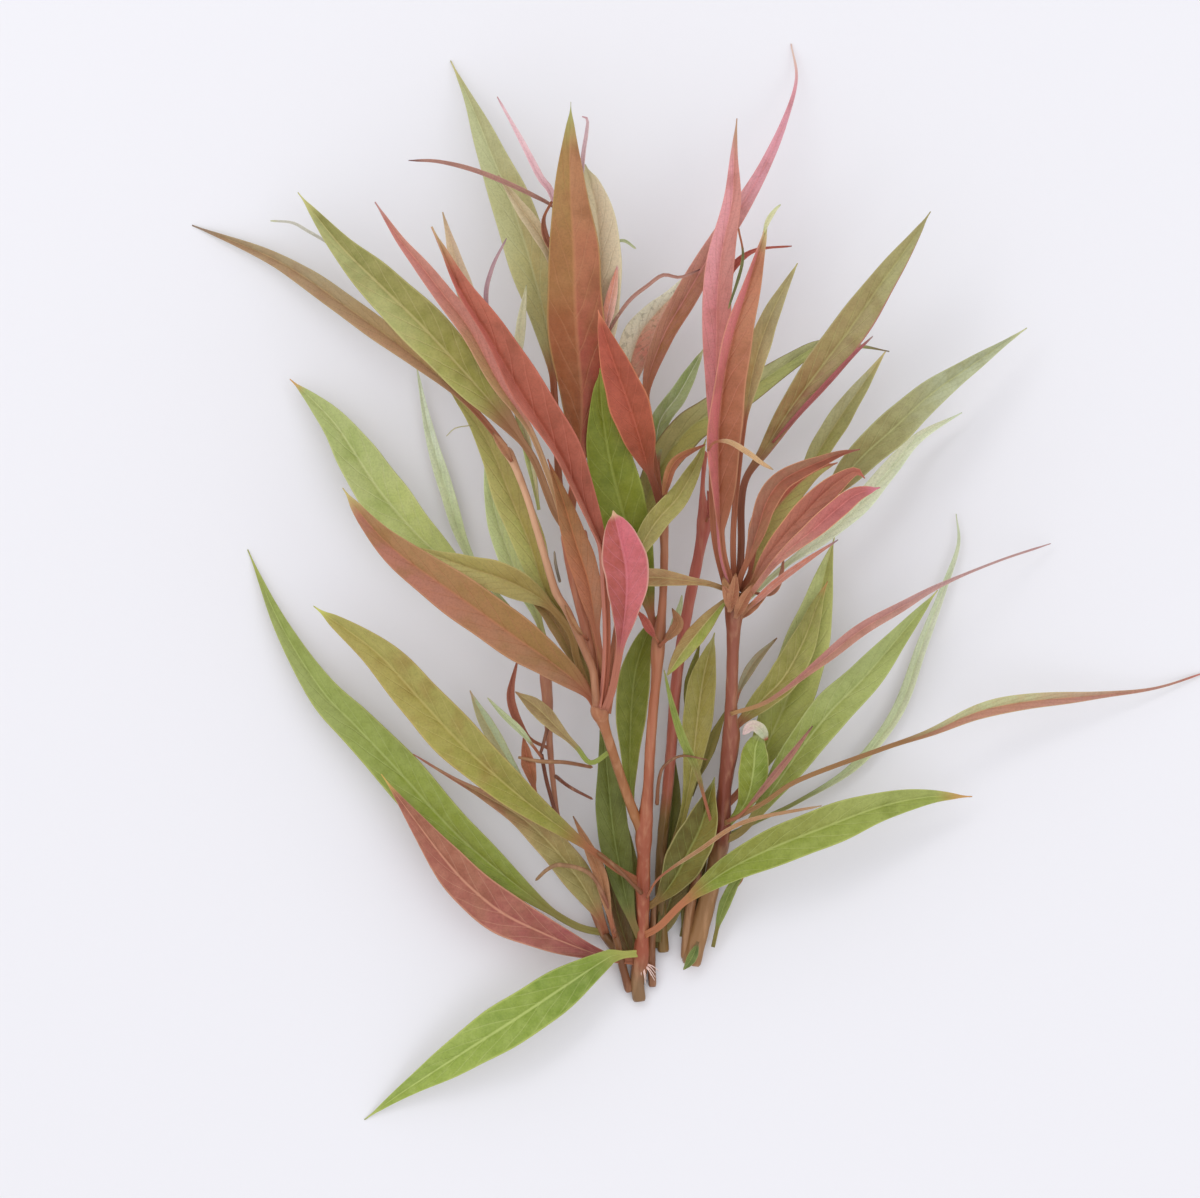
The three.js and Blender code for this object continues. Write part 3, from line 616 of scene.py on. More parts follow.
@dataclass(frozen=True)
class Stem:
    """One round stem or twig through points of x, y, z and radius."""

    name: str
    slot: Slot
    skin: StemSkin
    points: Points
    solid: bool = True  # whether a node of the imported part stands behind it
    ridges: float = 0.035  # height of its lengthwise ridges, as a share of its radius

    def surface(self) -> Surface:
        """Works out the stem's closed surface.

        A ring at each place is radius (1 + ridges cos(7 a) + a slow unevenness), with a the
        angle round the stem. The cut end is flat with a slight edge, and the far end closes
        as an ellipse, root of 1 - (1 - d)^2 with d the distance from it in dome lengths.
        """
        path = Path(self.points)
        length = path.length()
        rows = max(FEWEST_STEM_ROWS, round(length / STEM_ROW))
        along = np.linspace(0, 1, rows + 1)
        values, right, out = path.frames(along)
        angle = np.linspace(0, 2 * np.pi, STEM_SIDES, endpoint=False)[None]
        radius = values[:, 3, None]
        reached = along[:, None] * length
        uneven = STEM_UNEVEN * np.sin(BULGE_TWIST * reached + STEM_BULGES * angle)
        dome = DOME * values[-1, 3]
        from_end = np.clip((length - reached) / dome, 0, 1)
        cut = 1 - CUT_EDGE * smooth(reached, CUT_EDGE_LENGTH, 0)
        ends = np.sqrt(1 - (1 - from_end) ** 2) * cut
        ridged = self.ridges * np.cos(RIDGES * angle + RIDGE_TWIST * reached)
        radius = np.maximum(radius * ends, LEAST_RADIUS) * (1 + ridged + uneven)
        to_right = (-radius * np.cos(angle))[..., None] * right[:, None]
        outward = (radius * np.sin(angle))[..., None] * out[:, None]
        rings = values[:, None, :3] + to_right + outward
        place = np.stack(np.broadcast_arrays(angle / (2 * np.pi), along[:, None]), axis=-1)
        return Surface(rings, place, np.zeros(rings.shape[:2]))

    def build(self) -> None:
        """Builds the stem and dresses it."""
        dress(self.surface().build(f"{self.name}_surface", "stem"), self)


def dress(piece: bpy.types.Object, of: Leaf | Stem) -> None:
    """Gives a surface its finish, its body and the solid that it stands in for.

    Args:
        piece: The mesh object.
        of: The leaf or stem that it shows.
    """
    piece.data.materials.append(of.skin.material(of.name))
    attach(piece, "root")
    if of.solid:
        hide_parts(of.name)
    LOG.info("%s has %d faces", piece.name, len(piece.data.polygons))


@dataclass(frozen=True)
class Crown:
    """The leaves that grow from one part of the bunch."""

    name: str
    leaves: tuple[Leaf, ...]

    def build(self, first_seed: int) -> None:
        """Builds the crown's leaves, the first with first_seed and each next with one more."""
        for number, leaf in enumerate(self.leaves):
            leaf.build(first_seed + number)
        LOG.info("%s: %d leaves", self.name, len(self.leaves))


@dataclass(frozen=True)
class Lamp:
    """One square soft light that faces the bunch."""

    name: str
    place: Triple  # metres
    side: float  # of its square, in metres
    power: float  # watts

    def build(self) -> None:
        """Adds the light."""
        lamp = bpy.data.lights.new(self.name, "AREA")
        lamp.size = self.side
        lamp.energy = self.power
        holder = bpy.data.objects.new(self.name, lamp)
        holder.location = self.place
        aim = -np.array(self.place) / np.linalg.norm(self.place)
        holder.rotation_euler = (math.acos(-aim[2]), 0, math.atan2(aim[0], -aim[1]))
        holder.visible_camera = False
        bpy.context.scene.collection.objects.link(holder)


@dataclass(frozen=True)
class Studio:
    """The pale floor, soft lights and a camera that looks straight down on the bunch."""

    floor_side: float = 6.0  # metres
    floor_colour: Colour = (235, 234, 238)
    floor_roughness: float = 0.9
    floor_shine: float = 0.1
    camera_height: float = 2.0  # metres
    seen_width: float = 0.240  # metres of the sheet that the picture's width shows
    seen_middle: tuple[float, float] = (120.0, 120.2)  # of the sheet, in millimetres
    seen_level: float = 0.02  # metres above the floor where that width is measured
    seen_to: float = 100.0  # metres from the camera
    sensor: float = 36.0  # millimetres
    sky_colour: tuple[float, float, float, float] = (0.97, 0.975, 1.0, 1)
    sky_strength: float = 0.95
    lamps: tuple[Lamp, ...] = (
        Lamp("key", (-0.7, 0.9, 1.5), 1.5, 13),
        Lamp("fill", (0.9, -0.5, 1.4), 1.6, 6),
    )

    def floor(self) -> None:
        """Lays the plain pale floor under the bunch."""
        bpy.ops.mesh.primitive_plane_add(size=self.floor_side)
        floor = bpy.context.object
        floor.name = "floor"
        w = Wiring("floor")
        w.put(linear(self.floor_colour), w.shader.inputs["Base Color"])
        w.put(self.floor_roughness, w.shader.inputs["Roughness"])
        w.put(self.floor_shine, w.shader.inputs["Specular IOR Level"])
        floor.data.materials.append(w.material)

    def sky(self) -> None:
        """Fills the surroundings with even pale light."""
        world = bpy.data.worlds.new("studio")
        world.use_nodes = True
        background = world.node_tree.nodes["Background"]
        background.inputs["Color"].default_value = self.sky_colour
        background.inputs["Strength"].default_value = self.sky_strength
        bpy.context.scene.world = world

    def camera(self) -> None:
        """Hangs the camera over the middle of the picture."""
        lens = bpy.data.cameras.new("camera")
        lens.sensor_width = self.sensor
        lens.lens = self.sensor * (self.camera_height - self.seen_level) / self.seen_width
        lens.clip_end = self.seen_to
        camera = bpy.data.objects.new("camera", lens)
        middle = (np.array([*self.seen_middle, 0]) - SHEET_MIDDLE) * MM
        camera.location = (middle[0], middle[1], self.camera_height)
        bpy.context.scene.collection.objects.link(camera)
        bpy.context.scene.camera = camera

    def build(self) -> None:
        """Sets up the studio."""
        self.floor()
        self.sky()
        for lamp in self.lamps:
            lamp.build()
        self.camera()
        bpy.context.scene.view_settings.view_transform = "Standard"


# Finishes of the stems.
FRONT_STEM = StemSkin(cut=(130, 98, 66), low=(152, 78, 54), high=(172, 108, 76), cut_to=0.07)
LEFT_STEM = StemSkin(cut=(154, 98, 60), low=(152, 98, 58), high=(180, 112, 86), cut_to=0.0)
PINK_STEM = StemSkin(cut=(160, 90, 70), low=(158, 106, 76), high=(206, 160, 126), cut_to=0.0)
DARK_STEM = StemSkin(cut=(146, 106, 66), low=(108, 46, 30), high=(140, 78, 58), cut_to=0.32)
# Painted light: the back stem's colours are lighter than its own, to make up for the shade that
# falls on it.
BACK_STEM = StemSkin(cut=(120, 92, 48), low=(160, 88, 66), high=(184, 98, 84), cut_to=0.3)
LEFT_BACK_STEM = StemSkin(cut=(120, 86, 54), low=(160, 104, 76), high=(172, 114, 88), cut_to=0.1)
DRY_TWIG = StemSkin(cut=(150, 110, 70), low=(160, 118, 80), high=(130, 84, 54), cut_to=0.0)
DARK_TWIG = StemSkin(cut=(105, 58, 40), low=(112, 60, 40), high=(108, 58, 38), cut_to=0.0)
FADED_TWIG = StemSkin(cut=(125, 66, 50), low=(126, 72, 50), high=(138, 104, 70), cut_to=0.0)
GREY_HAIR = StemSkin(cut=(185, 175, 130), low=(185, 178, 135), high=(190, 185, 145), cut_to=0.0)
GREY_TWIG = StemSkin(cut=(112, 102, 86), low=(116, 106, 90), high=(122, 114, 98), cut_to=0.0)
BROWN_TWIG = StemSkin(cut=(112, 66, 40), low=(118, 72, 44), high=(124, 84, 52), cut_to=0.0)
ROOT = StemSkin(cut=(226, 186, 176), low=(232, 196, 186), high=(238, 214, 204), cut_to=0.0)

STEMS = (
    Stem("stem_front", Slot.STEM_RED, FRONT_STEM, (
        (128, 39, 1.3, 1.3), (127.6, 43, 1.6, 1.4), (128.2, 47, 2.6, 1.7), (128.6, 54, 5, 1.3),
        (128.6, 63, 9, 1.5), (128.8, 68, 11.5, 1.3), (128.8, 73, 14, 1.7), (129.6, 82, 17, 1.1),
        (130, 90, 18.5, 1.05), (130.6, 98, 19.5, 1), (131.2, 104, 20, 1), (131.6, 111, 20, 1.4),
        (132.4, 118, 20, 0.85), (132.8, 126, 20, 0.8), (132.8, 133, 20, 0.9),
        (132.2, 139.6, 20.5, 1.5),
    )),
    Stem("stem_left", Slot.STEM_RED, LEFT_STEM, (
        (128.6, 72.8, 14, 1), (126.4, 78.4, 16.5, 1), (124.4, 84, 18.5, 0.95),
        (122.4, 90, 21, 0.95), (120.8, 95, 23, 1.1), (120, 97.6, 24, 1.9), (119.8, 100, 25, 1.4),
        (119.2, 105, 25.5, 1.2), (118, 111, 26, 1.2), (116.4, 117.6, 26, 1.1),
        (114.8, 124, 26, 1.1), (113.8, 129, 26, 1.1), (113.2, 134, 26, 1.3),
    )),
    Stem("stem_upper_left", Slot.STEM_PINK, PINK_STEM, (
        (119.3, 99, 26, 0.8), (119.1, 102, 28.4, 0.8), (118.6, 106, 28.8, 0.8), (117, 110, 29, 0.8),
        (113.6, 117.6, 29, 0.8), (111.2, 121.6, 28.5, 0.8), (109.2, 128, 28, 0.75),
        (107.4, 134, 27, 0.7), (105.4, 140.6, 25.5, 0.7), (103, 146.8, 24, 0.8),
        (101, 150.6, 23, 1.2),
    )),
    Stem("stem_right", Slot.STEM_DARK, DARK_STEM, (
        (138.4, 46.4, 1.9, 1.9), (140, 53, 2.6, 1.9), (141.6, 59, 3.6, 1.8), (143.2, 66, 5.5, 1.7),
        (144.4, 73.4, 8, 2), (145, 82, 11, 1.4), (146.2, 91.6, 14.5, 1.8), (146.2, 97, 16, 1.3),
        (146.4, 104, 18, 1.2), (146.6, 112, 20, 1.3), (146.8, 119, 21.5, 2), (146.8, 122, 22, 2.3),
    )),
    Stem("stem_back", Slot.STEM_DARK, BACK_STEM, (
        (132.8, 49, 1.2, 1.2), (132.4, 56, 2.4, 1.1), (132.2, 64, 4, 1.1), (132.6, 72, 5.5, 1.1),
        (133.6, 82, 7, 1.1), (134.4, 91, 8, 1.1), (135, 100, 8.5, 1.1), (136, 109, 9, 1.1),
        (137.6, 118, 9.5, 1.1), (139, 125, 9.5, 1.1), (140.2, 131, 9.5, 1.1), (141, 136, 9.5, 1.5),
        (140.6, 142, 9, 0.5), (141.2, 150, 9, 0.5),
    )),
    Stem("stem_left_back", Slot.STEM_DARK, LEFT_BACK_STEM, (
        (124.4, 48.4, 1.2, 1.2), (120.6, 53, 2.2, 0.9), (117.6, 60, 3.5, 0.6), (114.4, 68, 5, 0.5),
        (111.6, 76, 6, 0.5), (110.6, 83, 7, 0.55), (109.8, 92, 8, 0.7), (109.4, 100, 9, 1.1),
        (109, 105.6, 10, 1.2), (109.4, 111, 11, 1.2),
    )),
)

# Painted light: the colours of leaves that lie deep under others are lighter than their own, to
# make up for the shade that falls on them.
UPPER_LEFT = Crown("far left crown and crown of the left stem", (
    Leaf("leaf_tan_far_left", Slot.TAN, LeafSkin(
        left=(190, 144, 108), right=(182, 144, 94), left_end=(166, 136, 104),
        right_end=(166, 148, 114), tip=(150, 125, 108), rib=(190, 160, 110), rim=(190, 170, 118),
        patch=(150, 95, 70),
    ), (
        (101, 150.6, 23), (96, 156.8, 20), (89.4, 163.4, 16.5), (80, 171, 12), (68, 179.7, 8),
        (60, 185.4, 5), (52, 189.9, 2.5), (37.6, 195.7, LIES),
    ), width=5, petiole=0.12, fold=20),
    Leaf("leaf_olive_upper_left", Slot.OLIVE, LeafSkin(
        left=(168, 168, 88), right=(146, 140, 60), left_end=(166, 168, 108),
        right_end=(140, 138, 74), tip=(205, 200, 130), stalk=(158, 116, 82), stalk_to=0.26,
        patch=(125, 118, 58), patch_share=0.45,
    ), (
        (113.2, 134, 26), (110.6, 138.4, 25.5), (107, 147.6, 25.5), (102.8, 153.8, 25.5),
        (98.8, 158.8, 26), (91.4, 167.2, 25), (83.8, 175.4, 23), (76, 183, 20), (68, 191, 15),
        (59.2, 202, 9),
    ), width=9.6, petiole=0.21, widest=0.43),
    Leaf("leaf_pink_upper_left", Slot.RED_BROWN, LeafSkin(
        left=(186, 150, 100), right=(212, 136, 122), left_end=(192, 124, 114),
        right_end=(194, 132, 116), tip=(190, 140, 132), stalk=(190, 150, 110), rib=(225, 150, 130),
        rim=(225, 165, 140), under=(200, 130, 115), patch=(160, 76, 62),
    ), (
        (113.2, 134, 27), (110, 144, 28.5), (106, 154, 29), (100, 163, 29), (94, 174, 28.5),
        (89, 180.6, 27.5), (84, 187, 26), (80, 192, 24.5), (75, 199.6, 21),
    ), width=4.4, petiole=0.25, fold=20),
    Leaf("leaf_red_blade", Slot.RED_BROWN, LeafSkin(
        left=(180, 112, 92), right=(158, 80, 60), left_end=(186, 98, 86), right_end=(178, 100, 78),
        tip=(195, 165, 120), tip_from=0.86, stalk=(168, 98, 72), rib=(206, 120, 100), rib_share=0.5,
        rim=(205, 120, 100), under=(188, 122, 106), patch=(128, 66, 44), patch_share=0.5,
    ), (
        (120.4, 98.6, 26.5), (121.2, 106, 30), (121.4, 114, 31.5), (121, 123, 32.5),
        (120.4, 130.4, 33), (118.8, 134.4, 34), (114.8, 143, 35), (111, 150.4, 36),
        (104, 161.4, 36.5), (98, 172, 36), (92, 182, 34), (86.6, 194.4, 29),
    ), width=10.4, petiole=0.29, widest=0.44, fold=40, roll=35),
    Leaf("leaf_pale_green_top", Slot.PALE_GREEN, LeafSkin(
        left=(196, 190, 130), right=(190, 170, 110), left_end=(184, 186, 138),
        right_end=(176, 172, 124), tip=(200, 190, 130), rib=(205, 205, 155), rim=(205, 200, 150),
        patch=(140, 145, 90),
    ), (
        (113.4, 134, 25), (111.8, 144, 22), (111.2, 156, 20), (109.8, 172, 18.5), (106.5, 186, 17),
        (102.4, 199, 14), (98, 210, 10), (94, 220, 5), (89.8, 229, LIES),
    ), width=9, petiole=0.3, widest=0.4, taper=1.3),
    Leaf("leaf_orange_centre", Slot.ORANGE, LeafSkin(
        left=(144, 80, 44), right=(160, 78, 60), left_end=(160, 124, 70), right_end=(174, 122, 84),
        turns=0.64, tip=(165, 165, 100), tip_from=0.86, rib=(190, 130, 90), rib_share=0.35,
        rim=(190, 160, 100), under=(190, 140, 100), patch=(128, 78, 40), patch_share=0.5,
    ), (
        (113.9, 129, 26.5), (114.4, 138, 27), (116, 150, 28), (116.4, 160, 30), (115.6, 170, 32),
        (115, 180, 33), (114.8, 190, 33), (114.2, 200, 32), (114, 210, 30), (114.2, 219.4, 26),
    ), width=11.6, petiole=0.17, widest=0.43, fold=-12),
    Leaf("leaf_rounded_behind_orange", Slot.TAN, LeafSkin(
        left=(212, 198, 162), right=(214, 196, 164), tip=(200, 190, 150), stalk=(190, 110, 80),
        stalk_to=0.35, rib=(215, 200, 165), rim=(215, 205, 165), patch=(205, 150, 128),
    ), (
        (113.4, 134, 26), (115.4, 148, 25), (118.4, 164, 25.5), (120, 176, 26), (120, 188, 26.5),
        (119.2, 198, 26), (117, 207, 24.5),
    ), width=8.8, petiole=0.3, widest=0.6, taper=0.7),
    Leaf("leaf_orange_behind_red", Slot.ORANGE, LeafSkin(
        left=(174, 108, 78), right=(174, 122, 92), left_end=(148, 106, 66),
        right_end=(150, 106, 60), tip=(165, 95, 62), rib=(205, 130, 85), rim=(190, 120, 80),
        patch=(126, 84, 46), patch_share=0.5,
    ), (
        (120.2, 99, 24), (120, 108, 27.5), (118.8, 117, 28.5), (117.6, 124, 29.5), (115, 132, 30.5),
        (112.6, 140, 31), (109.6, 148, 32),
    ), width=5.6, petiole=0.3, widest=0.4),
))

LEFT_NODE = Crown("large node of the left stem", (
    Leaf("leaf_olive_left_centre", Slot.OLIVE, LeafSkin(
        left=(188, 190, 110), right=(170, 152, 76), left_end=(172, 165, 94),
        right_end=(164, 152, 82), tip=(175, 160, 95), stalk=(150, 130, 75), rib=(190, 170, 110),
        patch=(125, 108, 52),
    ), (
        (119.6, 98.4, 22), (116.4, 108, 21), (113, 116, 21), (109, 122, 21), (106, 131, 20),
        (102.4, 140, 19), (98.8, 149, 17.5), (94.8, 156, 15), (89.4, 162.6, 12),
    ), width=7.2, petiole=0.25),
    Leaf("leaf_large_red_brown", Slot.BROWN, LeafSkin(
        left=(162, 116, 82), right=(152, 114, 62), left_end=(172, 112, 92),
        right_end=(162, 122, 80), tip=(200, 185, 120), rib=(185, 120, 85), rim=(200, 150, 110),
        under=(195, 130, 110), patch=(138, 104, 48), patch_share=0.5, veins=14,
    ), (
        (119.8, 97.4, 24.6), (116.8, 102.2, 25.4), (110, 107.8, 27.6), (104, 112, 28.6),
        (92, 120.6, 29), (80, 129.2, 28.5), (73.6, 135.6, 27), (68.6, 142.4, 24.5),
    ), width=9.2, petiole=0.05, widest=0.42, taper=0.9, fold=12),
    Leaf("leaf_olive_above_red_brown", Slot.OLIVE, LeafSkin(
        left=(176, 162, 96), right=(162, 142, 76), left_end=(192, 184, 116),
        right_end=(184, 176, 104), tip=(180, 165, 100), stalk=(160, 128, 76), rib=(185, 165, 105),
        patch=(135, 112, 58), patch_share=0.45,
    ), (
        (119.4, 97.8, 22.5), (115.6, 107.6, 23), (114, 113.6, 23.5), (109, 119.6, 24),
        (102, 123.6, 24), (94, 126.4, 23.5), (88, 128.6, 22.5), (82.6, 130.8, 21),
    ), width=6.4, petiole=0.43, widest=0.38, taper=1.2),
    Leaf("leaf_small_pink_front", Slot.PINK, LeafSkin(
        left=(162, 78, 70), right=(188, 100, 96), left_end=(170, 82, 72), right_end=(202, 102, 110),
        tip=(225, 190, 150), tip_from=0.93, stalk=(172, 106, 84), rib=(225, 135, 145),
        rib_share=0.35, rim=(222, 185, 160), under=(215, 130, 140), patch=(150, 74, 62),
        patch_share=0.4,
    ), (
        (121, 98.2, 27), (122.4, 102, 30), (123.4, 107, 33), (124.4, 113, 35.5), (125.2, 120, 37),
        (125.2, 126, 37.5), (124, 132, 37), (122.6, 137.8, 35.5),
    ), width=9.4, petiole=0.3, widest=0.62, taper=0.9),
    Leaf("leaf_olive_over_crown", Slot.OLIVE, LeafSkin(
        left=(148, 136, 66), right=(168, 156, 90), left_end=(154, 150, 76),
        right_end=(158, 154, 82), tip=(170, 165, 95), patch=(120, 118, 55), patch_share=0.45,
    ), (
        (121.6, 97.4, 25), (123.2, 108, 27), (124.2, 118.2, 27), (126.7, 127.3, 26.5),
        (130.7, 134.9, 26), (134.9, 139.7, 25.5), (136.7, 142.3, 25), (139.7, 147.9, 23),
        (141.2, 152.2, 20),
    ), width=4.8, petiole=0.45),
    Leaf("leaf_long_olive_crossing", Slot.OLIVE, LeafSkin(
        left=(176, 168, 102), right=(180, 172, 92), left_end=(190, 188, 136),
        right_end=(182, 186, 114), tip=(120, 100, 70), rib=(180, 182, 120), rim=(124, 98, 68),
        rim_share=0.75, patch=(120, 122, 70),
    ), (
        (120.4, 99, 21.5), (122.4, 108, 18), (124, 118, 14.5), (125.6, 127, 12.5),
        (127.6, 134.6, 12), (131.4, 145.6, 12.2), (137, 153.6, 15.4), (142, 157.2, 18.4),
        (150, 162.2, 21.4), (158, 167.6, 21.8), (164.4, 171, 20.6), (172, 170.8, 18.5),
        (178, 169.8, 16.5),
    ), width=7, petiole=0.3, widest=0.38, taper=1.4),
    Leaf("leaf_small_olive_brown", Slot.OLIVE, LeafSkin(
        left=(160, 134, 92), right=(162, 136, 92), tip=(170, 130, 90), stalk=(140, 150, 70),
        patch=(125, 95, 55),
    ), (
        (122.4, 90, 20.5), (118.2, 87.4, 17.5), (115.4, 90.4, 16), (111.6, 94.2, 15.4),
        (107.4, 98.4, 15), (103, 101.6, 15),
    ), width=3.6, petiole=0.33, widest=0.62),
))

BACK = Crown("back stems", (
    Leaf("leaf_light_green_back", Slot.PALE_GREEN, LeafSkin(
        left=(198, 208, 140), right=(190, 196, 122), left_end=(210, 222, 156),
        right_end=(198, 206, 140), tip=(200, 205, 150), stalk=(170, 165, 105), rib=(208, 212, 165),
        rim=(212, 216, 170), patch=(160, 172, 108),
    ), (
        (109.4, 110, 11), (106.6, 119, 9.5), (103, 126, 8.5), (100, 134, 8), (98.2, 141, 7.5),
        (96.8, 151, 6),
    ), width=5, petiole=0.1),
    Leaf("leaf_narrow_pale", Slot.PALE_GREEN, LeafSkin(
        left=(214, 224, 170), right=(212, 224, 166), left_end=(212, 220, 186),
        right_end=(220, 228, 202), tip=(205, 212, 175), stalk=(170, 170, 115), rib=(212, 218, 180),
        rim=(215, 222, 185), patch=(165, 180, 125),
    ), (
        (109.2, 109, 10), (102, 118, 6), (96, 125, 4.5), (92.3, 132, 3.5), (89.1, 142, 3),
        (85.6, 154, 2.5), (83, 167, 2),
    ), width=3, petiole=0.3),
    Leaf("leaf_light_green_left", Slot.PALE_GREEN, LeafSkin(
        left=(182, 192, 114), right=(184, 192, 110), left_end=(170, 180, 112),
        right_end=(170, 180, 112), tip=(218, 165, 100), tip_from=0.93, stalk=(165, 150, 90),
        rib=(205, 208, 150), rim=(205, 206, 145), patch=(140, 158, 70), patch_share=0.4,
    ), (
        (109.2, 110.4, 11), (103, 116, 9.5), (95, 123.4, 8.5), (85, 131.4, 8), (76.4, 141, 7.5),
        (71, 149, 7), (67, 155, 6), (62.4, 160, 4.5), (57.4, 164.6, 2.5),
    ), width=10, petiole=0.25),
    Leaf("leaf_big_green_lower_left", Slot.GREEN, LeafSkin(
        left=(140, 156, 56), right=(140, 152, 58), left_end=(152, 162, 92),
        right_end=(146, 158, 80), tip=(175, 180, 95), stalk=(140, 130, 70), rib=(185, 195, 120),
        rim=(195, 195, 120), patch=(118, 128, 44), patch_share=0.45,
    ), (
        (120.8, 52.8, 2.2), (115, 54.4, 4), (107, 59.6, 5.5), (92, 72, 6.5), (79, 86, 6.5),
        (71, 94.4, 6), (63.8, 102, 5), (55.6, 115, 3), (48.8, 130.2, LIES),
    ), width=9.2, petiole=0.1, widest=0.4, taper=1.2),
    Leaf("leaf_long_tipped", Slot.OLIVE, LeafSkin(
        left=(156, 142, 84), right=(152, 132, 76), left_end=(172, 108, 90),
        right_end=(174, 116, 96), turns=0.62, tip=(165, 95, 82), rim=(190, 160, 120),
        patch=(120, 112, 50), patch_share=0.45,
    ), (
        (121.2, 52.8, 3), (119.6, 57, 6), (115.6, 64, 8.5), (110, 71, 10), (104, 76.4, 10.5),
        (97, 80.6, 10), (90, 84.4, 9.5), (82.4, 89, 9),
    ), width=6.5, petiole=0.05, widest=0.3, taper=2),
    Leaf("leaf_pale_strip_lower_left", Slot.PALE_GREEN, LeafSkin(
        left=(188, 182, 138), right=(192, 206, 166), tip=(200, 170, 140), patch=(170, 150, 105),
    ), (
        (111.2, 77.6, 6.3), (108, 79, 8), (103, 85.4, 8.5), (98.6, 92.6, 8), (95.6, 98, 7.6),
        (93.8, 101.8, 7),
    ), width=3.2, petiole=0.15, widest=0.6),
    Leaf("leaf_twisted_dark_red", Slot.RED, LeafSkin(
        left=(156, 92, 72), right=(166, 100, 78), tip=(150, 85, 70), rib=(180, 110, 90),
        rim=(185, 120, 95), patch=(110, 50, 42),
    ), (
        (109.9, 90, 7.8), (105.3, 92.8, 10), (102.1, 100, 11), (103.4, 108, 12),
    ), width=1.8),
    Leaf("leaf_pale_olive_centre", Slot.OLIVE, LeafSkin(
        left=(152, 144, 66), right=(162, 150, 72), tip=(175, 170, 110), patch=(125, 125, 58),
        patch_share=0.4,
    ), (
        (132.4, 66, 4.4), (134.6, 70, 6.5), (136.8, 77, 8), (138.6, 87, 9), (139.6, 96, 10),
        (140.8, 104.6, 11), (143, 113.4, 12.5),
    ), width=6.4, petiole=0.1, widest=0.66),
))

